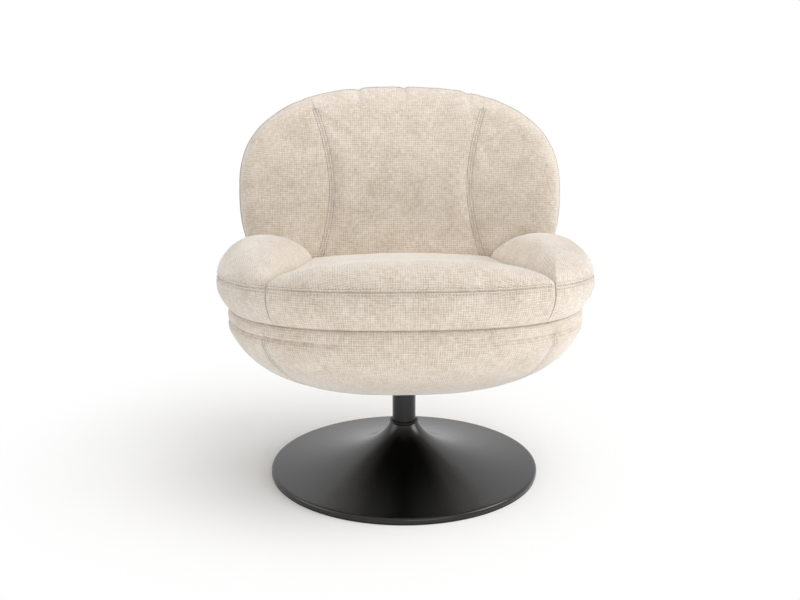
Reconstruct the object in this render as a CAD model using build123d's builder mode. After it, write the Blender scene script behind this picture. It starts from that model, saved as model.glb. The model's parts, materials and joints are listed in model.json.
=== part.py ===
from build123d import *

import os
from math import cos, radians, sin, sqrt, tan

# Swivel armchair: padded bowl seat on a round trumpet base, turning freely on a spindle.
# Millimetres, +Z up. The origin is on the floor at the swivel axis, and the chair faces -Y.

os.makedirs("parts", exist_ok=True)

# Clearances
fit_gap = 0.05              # radial play of a pin, bush or tube in its bore
seat_gap = 0.3              # between separate hard pieces
soft_gap = 0.8              # between a padded piece and what it meets
turn_gap = 0.5              # between the turning column and the fixed collar

# Trumpet base
base_radius = 265.0
floor_ring_height = 3.0
floor_ring_width = 26.0
floor_ring_setback = 1.0    # from the cover's rim
base_plate_thickness = 6.0
cover_wall = 2.5
rim_height = 13.0           # top of the cover's rolled rim above the floor
rim_round = 5.0
flare_reach = 140.0         # how far the flat foot of the flare runs inward
flare_foot_rise = 10.0
flare_throat_out = 20.0
flare_throat_drop = 48.0
neck_height = 98.0
collar_wall = 1.9
collar_depth = 20.0
collar_lip = 2.0

# Spindle and column
spindle_radius = 15.0
spindle_shoulder_radius = 22.0
spindle_foot_radius = 45.0
spindle_foot_thickness = 8.0
spindle_bolt_circle = 34.0
spindle_bolt_radius = 4.0
spindle_bolt_head_radius = 6.5
spindle_bolt_head_height = 8.0
spindle_bolt_count = 4
bearing_seat_height = 58.0
spindle_chamfer = 1.5
spindle_end = 4.0           # of the spindle above its retaining ring
column_radius = 23.0
column_wall = 2.5

# Thrust bearing
race_thickness = 3.5
bearing_height = 11.0
ball_radius = 3.1
ball_count = 12
race_groove_gap = 0.2
cage_thickness = 2.4
cage_side_gap = 0.6

# Bushes and retaining ring
bush_length = 20.0
bush_inset = 3.0            # of the lower bush above the tube's foot
washer_thickness = 2.0
ring_thickness = 1.5
ring_depth = 1.0            # of the groove in the spindle
ring_stand = 3.0            # of the ring beyond the spindle
ring_opening = 60.0         # degrees

# Seat carrier
carrier_room = 12.0         # below the seat plate, for bolt heads
seat_plate_side = 190.0
seat_plate_thickness = 6.0
seat_plate_corner = 20.0
plate_bolt_spacing = 140.0
plate_bolt_radius = 4.0
plate_bolt_head_radius = 6.5
plate_bolt_head_height = 5.2
plate_washer_radius = 9.0
plate_washer_thickness = 1.5
tee_nut_barrel_radius = 5.2
tee_nut_barrel_length = 13.0
tee_nut_flange_radius = 11.0
tee_nut_flange_thickness = 1.5
base_board_radius = 150.0
base_board_thickness = 18.0

# Plan of the upholstery at the deck, where cushions meet the pod
deck_height = 360.0
deck_half_width = 346.0
deck_front = 331.0
deck_rear = 273.0
deck_side_bulge = 70.0
deck_front_bulge = 70.0
deck_rear_bulge = 72.0
deck_corner = 150.0
deck_board_thickness = 15.0
deck_side_rail = 150.0      # from the deck's side to its opening
deck_opening_front = 205.0
deck_opening_rear = 84.0
deck_opening_corner = 40.0

# Pod under the deck
pod_step = 8.0             # how far the pod stands inside the cushions
pod_bottom = 197.0
pod_floor_half_width = 112.0
pod_wall = 14.0
pod_floor_thickness = 3.5
pod_lip = 7.0               # how far the pod's top edge is drawn in
pod_lip_height = 12.0
bottom_panel_radius = 92.0
rib_thickness = 15.0
rib_inner_radius = 95.0
rib_count = 8

# Sinuous springs
spring_count = 5
spring_margin = 52.0        # from the opening's side to the outer spring's middle
spring_wire_radius = 1.8
spring_run = 26.0           # straight cross run
spring_turns = 15
clip_width = 16.0
clip_thickness = 0.8
clip_foot_margin = 1.5      # of a clip's tail above the deck board's underside

# Seat cushion
border_height = 62.0        # from the deck to the top seam
border_roll = 12.0          # how far the border is drawn in at the deck
seam_roll = 3.0             # how far it is drawn in at the top seam
arm_front_width = 110.0     # of the deck's width left beside the seat at its front
arm_rear_width = 164.0      # the same at its rear
seat_crown = 46.0
seat_crown_run = 62.0
seat_crown_rear_run = 420.0
seat_corner = 18.0
arm_seam_gap = 2.4          # between the seat cushion and an arm

# Arms
arm_crown = 52.0            # above the top seam
arm_setback = 66.0          # of the arm's middle inside the deck's side
arm_centre_y = 20.0
arm_tail_setback = 84.0     # of the arm's tail inside the deck's side
arm_tail_y = 242.0
arm_roll = 0.05             # share of the plan that the border is drawn in at the deck
arm_seam_roll = 0.01        # the same at the top seam
arm_core_width = 44.0
arm_core_length = 200.0
arm_core_height = 74.0
arm_core_corner = 8.0
arm_screw_spacing = 130.0

# Back
back_foot = 196.2           # middle of the back behind the axis, at the deck
back_lean = 16.0            # degrees
back_wrap_radius = 620.0
back_height = 395.0         # from the deck to the top
back_half_width = 331.0
back_wide_height = 190.0    # widest level above the deck
back_below_reach = 265.0    # from the widest level to where the lower outline would close
back_squareness = 2.5       # exponent of the outline
back_front_depth = 84.0
back_rear_depth = 46.0
back_edge_front = 32.0
back_edge_rear = 28.0
back_top_fullness = 0.3     # share of the depth left at the very top
back_seam_gap = 2.6
back_board_thickness = 12.0
back_board_margin = 36.0
cleat_half_width = 150.0
cleat_height = 48.0
cleat_thickness = 40.0

# Wood screws
screw_radius = 2.5
screw_head_radius = 4.8
screw_head_height = 2.6
screw_bite = 32.0           # length in the piece that a screw holds
cleat_screw_spacing = 100.0
cleat_screw_count = 3
back_screw_spacing = 80.0
back_screw_count = 4

# Heights and radii that follow from the sizes above
base_plate_top = floor_ring_height + base_plate_thickness
collar_inner = column_radius + turn_gap
collar_outer = collar_inner + collar_wall
neck_inner = collar_outer + fit_gap
neck_outer = neck_inner + cover_wall
column_foot = bearing_seat_height + bearing_height
column_bore = column_radius - column_wall
seat_plate_bottom = pod_bottom + carrier_room
seat_plate_top = seat_plate_bottom + seat_plate_thickness
base_board_top = seat_plate_top + base_board_thickness
deck_board_bottom = deck_height - deck_board_thickness
pod_top = deck_height - seat_gap
seam_height = deck_height + border_height
spindle_top = seat_plate_bottom - spindle_end
ring_top = spindle_top - spindle_end
washer_top = ring_top - ring_thickness - seat_gap
upper_bush_top = washer_top - washer_thickness - seat_gap
ball_height = bearing_seat_height + bearing_height / 2
ball_pitch_radius = (spindle_radius + column_radius) / 2
clip_bore = spring_wire_radius + seat_gap
clip_radius = clip_bore + clip_thickness
spring_height = deck_height - clip_radius
clip_tail = spring_height - deck_board_bottom - clip_foot_margin
deck_opening_half_width = deck_half_width - deck_side_rail
spring_spacing = 2 * (deck_opening_half_width - spring_margin) / (spring_count - 1)
seat_front_half_width = deck_half_width - arm_front_width
seat_rear_half_width = deck_half_width - arm_rear_width
arm_centre_x = deck_half_width - arm_setback
arm_tail_x = deck_half_width - arm_tail_setback


def save(piece, name):
    """Label a finished piece and write it to its own file."""
    piece.part.label = name
    export_step(piece.part, f"parts/{name}.step")


def deck_outline(inset, share=1.0):
    """Rounded plan of the upholstery, drawn in by inset and then scaled about the axis."""
    half = (deck_half_width - inset) * share
    front = (deck_front - inset) * share
    rear = (deck_rear - inset) * share
    side = half - deck_side_bulge * share
    near = -front + deck_front_bulge * share
    far = rear - deck_rear_bulge * share
    middle = (near + far) / 2
    with BuildSketch() as outline:
        with BuildLine():
            ThreePointArc((-side, near), (0, -front), (side, near))
            ThreePointArc((side, near), (half, middle), (side, far))
            ThreePointArc((side, far), (0, rear), (-side, far))
            ThreePointArc((-side, far), (-half, middle), (-side, near))
        make_face()
        fillet(outline.vertices(), deck_corner * share)
    return outline.sketch


def pod_share(height, floor):
    """Width of the pod at a height, as a share of its full width: a quarter ellipse over a flat floor."""
    rise = (height - floor) / (pod_top - floor)
    least = pod_floor_half_width / deck_half_width
    return least + (1 - least) * sqrt(1 - (1 - rise) ** 2)


def pod_body(inset, floor):
    """Bowl from its flat floor up to its drawn-in top edge, inside the pod's face by inset."""
    rises = (0.0, 0.03, 0.12, 0.27, 0.46, 0.68)
    span = pod_top - pod_lip_height - floor
    with BuildPart() as body:
        for rise in rises:
            height = floor + rise * span
            with BuildSketch(Plane.XY.offset(height)):
                add(deck_outline(pod_step + inset, pod_share(height, floor)))
        with BuildSketch(Plane.XY.offset(pod_top - pod_lip_height)):
            add(deck_outline(pod_step + inset))
        with BuildSketch(Plane.XY.offset(pod_top)):
            add(deck_outline(pod_step + inset + pod_lip))
        loft()
    return body.part


def back_middle(height):
    """Distance of the back's middle surface behind the axis at a height."""
    return back_foot + (height - deck_height) * tan(radians(back_lean))


def back_half(height, margin=0.0):
    """Half width of the back at a height: half of an egg with a superellipse outline."""
    above = height - deck_height - back_wide_height
    reach = back_height - back_wide_height if above > 0 else back_below_reach
    share = min(abs(above) / (reach - margin), 1.0)
    return (back_half_width - margin) * (1 - share**back_squareness) ** (1 / back_squareness)


def back_fullness(height):
    """Share of the back's depth that is left at a height: full below, rounding off to the top."""
    above = height - deck_height - back_wide_height
    share = max(above / (back_height - back_wide_height), 0.0)
    return back_top_fullness + (1 - back_top_fullness) * sqrt(1 - share**2)


def back_section(height, grow=0.0):
    """Crescent across the back at a height, grown by a clearance on every side."""
    fullness = back_fullness(height)
    middle = back_middle(height)
    edge_front = back_edge_front * fullness + grow
    edge_rear = back_edge_rear * fullness + grow
    end_round = 0.4 * (edge_front + edge_rear)
    half = max(back_half(height), 2 * end_round) + grow - end_round
    end = middle - back_wrap_radius + sqrt(back_wrap_radius**2 - half**2)
    end_middle = end + (edge_rear - edge_front) / 2
    front = middle - back_front_depth * fullness - grow
    rear = middle + back_rear_depth * fullness + grow
    with BuildSketch() as crescent:
        with BuildLine():
            ThreePointArc((-half, end - edge_front), (0, front), (half, end - edge_front))
            ThreePointArc((half, end - edge_front), (half + end_round, end_middle), (half, end + edge_rear))
            ThreePointArc((half, end + edge_rear), (0, rear), (-half, end + edge_rear))
            ThreePointArc((-half, end + edge_rear), (-half - end_round, end_middle), (-half, end - edge_front))
        make_face()
    return crescent.sketch


def back_front_line(height, across):
    """Place of the back's front surface at a height and a distance across, below the widest level."""
    half = back_half(height) - 0.4 * (back_edge_front + back_edge_rear)
    wing = back_wrap_radius - sqrt(back_wrap_radius**2 - half**2) + back_edge_front
    sag = wing - back_front_depth
    return back_middle(height) - back_front_depth - sag * (across / half) ** 2


def back_body(foot, grow=0.0):
    """Whole padded back from its foot to its top, grown by a clearance."""
    rises = (0.0, 0.17, 0.34, 0.49, 0.63, 0.75, 0.85, 0.925, 0.97, 0.995)
    top = deck_height + back_height
    with BuildPart() as body:
        for rise in rises:
            height = foot + rise * (top - foot)
            with BuildSketch(Plane.XY.offset(height)):
                add(back_section(height, grow))
        loft()
    return body.part


def wrap_slab(near, far, half, foot, rise):
    """Leaning curved slab between two distances from the back's middle surface."""
    centre = back_middle(foot) - back_wrap_radius
    near_radius = back_wrap_radius + near
    far_radius = back_wrap_radius + far
    near_end = centre + sqrt(near_radius**2 - half**2)
    far_end = centre + sqrt(far_radius**2 - half**2)
    lean = radians(back_lean)
    with BuildPart() as slab:
        with BuildSketch(Plane.XY.offset(foot)):
            with BuildLine():
                ThreePointArc((-half, near_end), (0, centre + near_radius), (half, near_end))
                Line((half, near_end), (half, far_end))
                ThreePointArc((half, far_end), (0, centre + far_radius), (-half, far_end))
                Line((-half, far_end), (-half, near_end))
            make_face()
        extrude(amount=rise / cos(lean), dir=(0, sin(lean), cos(lean)))
    return slab.part


def border_share(rise):
    """Share of the border's roll at a rise from the deck, 0, to the top seam, 1: none halfway up."""
    return (2 * rise - 1) ** 2


def cushion_section(height, inset, rear_inset):
    """Plan of the seat cushion at a height: bowed front, straight sides, rear against the back."""
    half = deck_half_width - deck_side_bulge
    front_radius = (half**2 + deck_front_bulge**2) / (2 * deck_front_bulge)
    front = deck_front - inset
    near_half = seat_front_half_width - inset
    near = -front + front_radius - sqrt(front_radius**2 - near_half**2)
    far_half = seat_rear_half_width - inset
    far = back_front_line(height, far_half) - soft_gap - rear_inset
    rear = back_front_line(height, 0) - soft_gap - rear_inset
    with BuildSketch() as plan:
        with BuildLine():
            ThreePointArc((-near_half, near), (0, -front), (near_half, near))
            Line((near_half, near), (far_half, far))
            ThreePointArc((far_half, far), (0, rear), (-far_half, far))
            Line((-far_half, far), (-near_half, near))
        make_face()
        fillet(plan.vertices(), seat_corner)
    return plan.sketch


def wood_screw(length, grow=0.0):
    """Countersunk screw along -Z, with its head's flat face at the origin."""
    with BuildPart() as screw:
        with BuildSketch(Plane.XZ):
            with BuildLine():
                Polyline(
                    (0, grow),
                    (screw_head_radius + grow, grow),
                    (screw_radius + grow, -screw_head_height - grow),
                    (screw_radius + grow, -length + screw_radius - grow),
                    (0, -length - grow),
                    (0, grow),
                )
            make_face()
        revolve(axis=Axis.Z)
    return screw.part


def screw_group(places, length, grow=0.0):
    """Like screws at several places, each driven along its place's -Z."""
    with BuildPart() as group:
        with Locations(*places):
            add(wood_screw(length, grow))
    return group


def board_body(grow=0.0):
    """Moulded back board: leaning curved slab with an egg outline, grown by a clearance."""
    rises = (0.0, 0.2, 0.4, 0.6, 0.75, 0.87, 0.95, 0.99)
    foot = deck_height + seat_gap - grow
    top = deck_height + back_height - back_board_margin + grow
    near = back_wrap_radius - grow
    far = back_wrap_radius + back_board_thickness + grow
    with BuildPart() as board:
        for rise in rises:
            height = foot + rise * (top - foot)
            half = back_half(height, back_board_margin - grow)
            centre = back_middle(height) - back_wrap_radius
            near_end = centre + sqrt(near**2 - half**2)
            far_end = centre + sqrt(far**2 - half**2)
            with BuildSketch(Plane.XY.offset(height)):
                with BuildLine():
                    ThreePointArc((-half, near_end), (0, centre + near), (half, near_end))
                    Line((half, near_end), (half, far_end))
                    ThreePointArc((half, far_end), (0, centre + far), (-half, far_end))
                    Line((-half, far_end), (-half, near_end))
                make_face()
        loft()
    return board.part


# Floor ring
with BuildPart() as floor_ring:
    with BuildSketch():
        Circle(base_radius - floor_ring_setback)
        Circle(base_radius - floor_ring_setback - floor_ring_width, mode=Mode.SUBTRACT)
    extrude(amount=floor_ring_height)
save(floor_ring, "floor_ring")

# Base plate: the weight that keeps the chair upright
with BuildPart() as base_plate:
    with BuildSketch(Plane.XY.offset(floor_ring_height)):
        Circle(base_radius - rim_round - seat_gap)
        with PolarLocations(spindle_bolt_circle, spindle_bolt_count):
            Circle(spindle_bolt_radius + fit_gap, mode=Mode.SUBTRACT)
    extrude(amount=base_plate_thickness)
save(base_plate, "base_plate")

# Base cover: spun trumpet from the rolled rim up to the neck
with BuildPart() as base_cover:
    rim_start = base_radius - rim_round
    flare_foot = (rim_start - flare_reach, rim_height + flare_foot_rise)
    flare_throat = (neck_outer + flare_throat_out, neck_height - flare_throat_drop)
    with BuildSketch(Plane.XZ):
        with BuildLine():
            Line((base_radius, floor_ring_height), (base_radius, rim_height - rim_round))
            RadiusArc((base_radius, rim_height - rim_round), (rim_start, rim_height), -rim_round)
            Bezier((rim_start, rim_height), flare_foot, flare_throat, (neck_outer, neck_height))
            Line((neck_outer, neck_height), (neck_inner, neck_height))
            Bezier(
                (neck_inner, neck_height),
                (flare_throat[0] - cover_wall, flare_throat[1] - cover_wall),
                (flare_foot[0], flare_foot[1] - cover_wall),
                (rim_start, rim_height - cover_wall),
            )
            Polyline(
                (rim_start, rim_height - cover_wall),
                (base_radius - cover_wall, rim_height - rim_round),
                (base_radius - cover_wall, floor_ring_height),
                (base_radius, floor_ring_height),
            )
        make_face()
    revolve(axis=Axis.Z)
save(base_cover, "base_cover")

# Neck collar: dark plastic sleeve that hides the gap around the column
with BuildPart() as neck_collar:
    with BuildSketch(Plane.XZ):
        with BuildLine():
            Polyline(
                (collar_inner, neck_height - collar_depth),
                (collar_outer, neck_height - collar_depth),
                (collar_outer, neck_height),
                (neck_outer - fit_gap, neck_height),
                (neck_outer - fit_gap, neck_height + collar_lip),
                (collar_inner, neck_height + collar_lip),
                (collar_inner, neck_height - collar_depth),
            )
        make_face()
    revolve(axis=Axis.Z)
save(neck_collar, "neck_collar")

# Spindle: fixed shaft with a foot flange, a bearing shoulder and a groove for the retaining ring
with BuildPart() as spindle:
    with BuildSketch(Plane.XY.offset(base_plate_top)):
        Circle(spindle_foot_radius)
        with PolarLocations(spindle_bolt_circle, spindle_bolt_count):
            Circle(spindle_bolt_radius + fit_gap, mode=Mode.SUBTRACT)
    extrude(amount=spindle_foot_thickness)
    with BuildSketch(Plane.XY.offset(base_plate_top)):
        Circle(spindle_shoulder_radius)
    extrude(amount=bearing_seat_height - base_plate_top)
    with BuildSketch(Plane.XY.offset(bearing_seat_height)):
        Circle(spindle_radius)
    extrude(amount=spindle_top - bearing_seat_height)
    chamfer(spindle.faces().sort_by(Axis.Z)[-1].edges(), spindle_chamfer)
    with BuildSketch(Plane.XY.offset(ring_top + fit_gap)):
        Circle(spindle_radius + seat_gap)
        Circle(spindle_radius - ring_depth, mode=Mode.SUBTRACT)
    extrude(amount=-ring_thickness - 2 * fit_gap, mode=Mode.SUBTRACT)
save(spindle, "spindle")

# Spindle bolts: cap screws through the foot flange into the base plate
with BuildPart() as spindle_bolts:
    flange_top = base_plate_top + spindle_foot_thickness
    with BuildSketch(Plane.XY.offset(floor_ring_height)):
        with PolarLocations(spindle_bolt_circle, spindle_bolt_count):
            Circle(spindle_bolt_radius)
    extrude(amount=flange_top - floor_ring_height)
    with BuildSketch(Plane.XY.offset(flange_top)):
        with PolarLocations(spindle_bolt_circle, spindle_bolt_count):
            Circle(spindle_bolt_head_radius)
            RegularPolygon(spindle_bolt_radius, 6, mode=Mode.SUBTRACT)
    extrude(amount=spindle_bolt_head_height)
    with BuildSketch(Plane.XY.offset(flange_top)):
        with PolarLocations(spindle_bolt_circle, spindle_bolt_count):
            Circle(spindle_bolt_head_radius)
    extrude(amount=spindle_bolt_head_height / 2)
save(spindle_bolts, "spindle_bolts")


def bearing_race(foot, bore):
    """Flat race of the thrust bearing with its ball groove."""
    with BuildPart() as race:
        with BuildSketch(Plane.XY.offset(foot)):
            Circle(column_radius)
            Circle(bore, mode=Mode.SUBTRACT)
        extrude(amount=race_thickness)
        with Locations((0, 0, ball_height)):
            Torus(ball_pitch_radius, ball_radius + race_groove_gap, mode=Mode.SUBTRACT)
    return race


# Thrust bearing: lower race on the spindle, upper race under the column
bearing_lower_race = bearing_race(bearing_seat_height, spindle_radius + fit_gap)
save(bearing_lower_race, "bearing_lower_race")
bearing_upper_race = bearing_race(column_foot - race_thickness, spindle_radius + seat_gap)
save(bearing_upper_race, "bearing_upper_race")

# Bearing cage: ring that spaces the balls
with BuildPart() as bearing_cage:
    with BuildSketch(Plane.XY.offset(ball_height - cage_thickness / 2)):
        Circle(column_radius - cage_side_gap)
        Circle(spindle_radius + cage_side_gap, mode=Mode.SUBTRACT)
        with PolarLocations(ball_pitch_radius, ball_count):
            Circle(ball_radius + race_groove_gap, mode=Mode.SUBTRACT)
    extrude(amount=cage_thickness)
save(bearing_cage, "bearing_cage")

# Bearing balls
with BuildPart() as bearing_balls:
    with Locations((0, 0, ball_height)):
        with PolarLocations(ball_pitch_radius, ball_count):
            Sphere(ball_radius)
save(bearing_balls, "bearing_balls")

# Column tube: turns on the bearing and carries the seat plate
with BuildPart() as column_tube:
    with BuildSketch(Plane.XY.offset(column_foot)):
        Circle(column_radius)
        Circle(column_bore, mode=Mode.SUBTRACT)
    extrude(amount=seat_plate_top - column_foot)
save(column_tube, "column_tube")

# Plain bushes between the column and the spindle
bush_feet = {
    "lower_bush": column_foot + bush_inset,
    "upper_bush": upper_bush_top - bush_length,
}
for bush_name, bush_foot in bush_feet.items():
    with BuildPart() as bush:
        with BuildSketch(Plane.XY.offset(bush_foot)):
            Circle(column_bore - fit_gap)
            Circle(spindle_radius + fit_gap, mode=Mode.SUBTRACT)
        extrude(amount=bush_length)
    save(bush, bush_name)

# Retaining washer over the upper bush
with BuildPart() as retaining_washer:
    with BuildSketch(Plane.XY.offset(washer_top - washer_thickness)):
        Circle(column_bore - seat_gap)
        Circle(spindle_radius + fit_gap, mode=Mode.SUBTRACT)
    extrude(amount=washer_thickness)
save(retaining_washer, "retaining_washer")

# Retaining ring: open spring ring in the spindle's groove
with BuildPart() as retaining_ring:
    ring_outer = spindle_radius + ring_stand
    half_opening = radians(ring_opening / 2)
    with BuildSketch(Plane.XY.offset(ring_top)):
        Circle(ring_outer)
        Circle(spindle_radius - ring_depth + fit_gap, mode=Mode.SUBTRACT)
        with BuildLine():
            Polyline(
                (0, 0),
                (2 * ring_outer * sin(half_opening), -2 * ring_outer * cos(half_opening)),
                (-2 * ring_outer * sin(half_opening), -2 * ring_outer * cos(half_opening)),
                (0, 0),
            )
        make_face(mode=Mode.SUBTRACT)
    extrude(amount=-ring_thickness)
save(retaining_ring, "retaining_ring")

# Seat plate: steel square welded to the top of the column
with BuildPart() as seat_plate:
    with BuildSketch(Plane.XY.offset(seat_plate_bottom)):
        RectangleRounded(seat_plate_side, seat_plate_side, seat_plate_corner)
        Circle(column_radius + fit_gap, mode=Mode.SUBTRACT)
        with GridLocations(plate_bolt_spacing, plate_bolt_spacing, 2, 2):
            Circle(plate_bolt_radius + fit_gap, mode=Mode.SUBTRACT)
    extrude(amount=seat_plate_thickness)
save(seat_plate, "seat_plate")

# Plate washers
with BuildPart() as plate_washers:
    with BuildSketch(Plane.XY.offset(seat_plate_bottom)):
        with GridLocations(plate_bolt_spacing, plate_bolt_spacing, 2, 2):
            Circle(plate_washer_radius)
            Circle(plate_bolt_radius + fit_gap, mode=Mode.SUBTRACT)
    extrude(amount=-plate_washer_thickness)
save(plate_washers, "plate_washers")

# Plate bolts: hexagon heads below the plate, shanks up into the tee nuts
with BuildPart() as plate_bolts:
    head_top = seat_plate_bottom - plate_washer_thickness
    with BuildSketch(Plane.XY.offset(head_top)):
        with GridLocations(plate_bolt_spacing, plate_bolt_spacing, 2, 2):
            RegularPolygon(plate_bolt_head_radius, 6)
    extrude(amount=-plate_bolt_head_height)
    with BuildSketch(Plane.XY.offset(head_top)):
        with GridLocations(plate_bolt_spacing, plate_bolt_spacing, 2, 2):
            Circle(plate_bolt_radius)
    extrude(amount=base_board_top - head_top)
save(plate_bolts, "plate_bolts")

# Base board: plywood disc on the seat plate
with BuildPart() as base_board:
    with BuildSketch(Plane.XY.offset(seat_plate_top)):
        Circle(base_board_radius)
        Circle(column_radius, mode=Mode.SUBTRACT)
        with GridLocations(plate_bolt_spacing, plate_bolt_spacing, 2, 2):
            Circle(tee_nut_barrel_radius + fit_gap, mode=Mode.SUBTRACT)
    extrude(amount=base_board_thickness)
save(base_board, "base_board")

# Tee nuts: flanged nuts on top of the base board
with BuildPart() as tee_nuts:
    with BuildSketch(Plane.XY.offset(base_board_top)):
        with GridLocations(plate_bolt_spacing, plate_bolt_spacing, 2, 2):
            Circle(tee_nut_flange_radius)
            Circle(plate_bolt_radius + fit_gap, mode=Mode.SUBTRACT)
    extrude(amount=tee_nut_flange_thickness)
    with BuildSketch(Plane.XY.offset(base_board_top)):
        with GridLocations(plate_bolt_spacing, plate_bolt_spacing, 2, 2):
            Circle(tee_nut_barrel_radius)
            Circle(plate_bolt_radius + fit_gap, mode=Mode.SUBTRACT)
    extrude(amount=-tee_nut_barrel_length)
save(tee_nuts, "tee_nuts")

# Hollow of the pod: what the pod cover leaves for the frame
pod_hollow = pod_body(pod_wall, pod_bottom + pod_floor_thickness)

# Pod cover: padded bowl, open at the top and at the bottom panel
with BuildPart() as pod_cover:
    add(pod_body(0.0, pod_bottom))
    add(pod_hollow, mode=Mode.SUBTRACT)
    with BuildSketch(Plane.XY.offset(pod_bottom)):
        Circle(bottom_panel_radius + seat_gap)
    extrude(amount=pod_floor_thickness, mode=Mode.SUBTRACT)
save(pod_cover, "pod_cover")

# Bottom panel: closes the pod around the column
with BuildPart() as bottom_panel:
    with BuildSketch(Plane.XY.offset(pod_bottom)):
        Circle(bottom_panel_radius)
        Circle(column_radius + seat_gap, mode=Mode.SUBTRACT)
    extrude(amount=pod_floor_thickness)
save(bottom_panel, "bottom_panel")

# Space inside the pod that the plywood frame may fill
frame_space = pod_body(pod_wall + seat_gap, pod_bottom + pod_floor_thickness)

# Pod ribs: upright plywood plates between the base board and the deck board
for index in range(rib_count):
    with BuildPart() as pod_rib:
        rib_length = deck_half_width + deck_front
        rib_plane = Plane.XY.rotated((0, 0, 360 / rib_count * (index + 0.5)))
        with BuildSketch(rib_plane.offset(base_board_top)):
            with Locations((rib_inner_radius + rib_length / 2, 0)):
                Rectangle(rib_length, rib_thickness)
        extrude(amount=deck_board_bottom - base_board_top)
        add(frame_space, mode=Mode.INTERSECT)
    save(pod_rib, f"pod_rib_{index + 1}")

# Places of the wood screws: up through the deck into arm cores and cleat, forward through the board
deck_screw_length = deck_board_thickness + screw_bite
upward = (180, 0, 0)
arm_core_y = arm_centre_y - arm_core_length / 5
arm_screw_places = [
    Location((side * arm_centre_x, arm_core_y + end * arm_screw_spacing / 2, deck_board_bottom), upward)
    for side in (-1, 1)
    for end in (-1, 1)
]
cleat_screw_places = []
for index in range(cleat_screw_count):
    across = (index - (cleat_screw_count - 1) / 2) * cleat_screw_spacing
    radius = back_wrap_radius - cleat_thickness / 2
    behind = back_middle(deck_height) - back_wrap_radius + sqrt(radius**2 - across**2)
    cleat_screw_places.append(Location((across, behind, deck_board_bottom), upward))
back_screw_places = []
for index in range(back_screw_count):
    across = (index - (back_screw_count - 1) / 2) * back_screw_spacing
    radius = back_wrap_radius + back_board_thickness
    height = deck_height + cleat_height / 2
    behind = back_middle(height) - back_wrap_radius + sqrt(radius**2 - across**2)
    turn = across / radius
    lean = radians(back_lean)
    outward = (turn * cos(lean), sqrt(1 - turn**2) * cos(lean), -sin(lean))
    back_screw_places.append(Plane(origin=(across, behind, height), z_dir=outward).location)
back_screw_length = back_board_thickness + screw_bite

arm_screws = screw_group(arm_screw_places, deck_screw_length)
save(arm_screws, "arm_screws")
cleat_screws = screw_group(cleat_screw_places, deck_screw_length)
save(cleat_screws, "cleat_screws")
back_screws = screw_group(back_screw_places, back_screw_length)
save(back_screws, "back_screws")
arm_screw_holes = screw_group(arm_screw_places, deck_screw_length, fit_gap).part
cleat_screw_holes = screw_group(cleat_screw_places, deck_screw_length, fit_gap).part
back_screw_holes = screw_group(back_screw_places, back_screw_length, fit_gap).part

# Deck board: plywood ring that carries cushions, arms and back
with BuildPart() as deck_board:
    opening_length = deck_opening_front + deck_opening_rear
    opening_middle = (deck_opening_rear - deck_opening_front) / 2
    with BuildSketch(Plane.XY.offset(deck_board_bottom)):
        add(deck_outline(pod_step + pod_wall + pod_lip + seat_gap))
        with Locations((0, opening_middle)):
            RectangleRounded(
                2 * deck_opening_half_width, opening_length, deck_opening_corner, mode=Mode.SUBTRACT
            )
    extrude(amount=deck_board_thickness)
    add(arm_screw_holes, mode=Mode.SUBTRACT)
    add(cleat_screw_holes, mode=Mode.SUBTRACT)
save(deck_board, "deck_board")

# Sinuous springs: zigzag wires from front to rear across the deck's opening
spring_front = -deck_opening_front + clip_radius
spring_rear = deck_opening_rear - clip_radius
spring_pitch = (spring_rear - spring_front) / spring_turns
spring_places = [(index - (spring_count - 1) / 2) * spring_spacing for index in range(spring_count)]
for index, across in enumerate(spring_places):
    with BuildPart() as seat_spring:
        with BuildLine(Plane.XY.offset(spring_height)) as spring_path:
            side = -1
            for turn in range(spring_turns + 1):
                along = spring_front + turn * spring_pitch
                start = across + side * spring_run / 2
                end = across - side * spring_run / 2
                Line((start, along), (end, along))
                if turn < spring_turns:
                    beyond = end - side * spring_pitch / 2
                    ThreePointArc(
                        (end, along), (beyond, along + spring_pitch / 2), (end, along + spring_pitch)
                    )
                side = -side
        with BuildSketch(Plane(origin=spring_path.line @ 0, z_dir=spring_path.line % 0)):
            Circle(spring_wire_radius)
        sweep()
    save(seat_spring, f"seat_spring_{index + 1}")

# Spring clips: steel loops on the edges of the deck's opening that hold the springs' end runs
with BuildPart() as spring_clips:
    for across in spring_places:
        for along, outward in ((spring_front, -1), (spring_rear, 1)):
            tail_middle = along + outward * (clip_radius - clip_thickness / 2)
            with BuildSketch(Plane.YZ.offset(across - clip_width / 2)):
                with Locations((along, spring_height)):
                    Circle(clip_radius)
                with Locations((tail_middle, spring_height - clip_tail / 2)):
                    Rectangle(clip_thickness, clip_tail)
                with Locations((along, spring_height)):
                    Circle(clip_bore, mode=Mode.SUBTRACT)
            extrude(amount=clip_width)
save(spring_clips, "spring_clips")

# Seat cushion: rolled border up to the top seam, then a crown
cushion_foot = deck_height + seat_gap
with BuildPart() as seat_cushion:
    for rise in (0.0, 0.5, 1.0):
        cushion_height = cushion_foot + rise * (seam_height - cushion_foot)
        roll = border_share(rise) * (border_roll if rise < 0.5 else seam_roll)
        with BuildSketch(Plane.XY.offset(cushion_height)):
            add(cushion_section(cushion_height, roll, 0))
    loft()
    for rise in (0.0, 0.4, 0.75, 0.96):
        cushion_height = seam_height + rise * seat_crown
        fall = 1 - sqrt(1 - rise**2)
        side_fall = seam_roll + fall * seat_crown_run
        with BuildSketch(Plane.XY.offset(cushion_height)):
            add(cushion_section(cushion_height, side_fall, fall * seat_crown_rear_run))
    loft()
save(seat_cushion, "seat_cushion")

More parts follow.
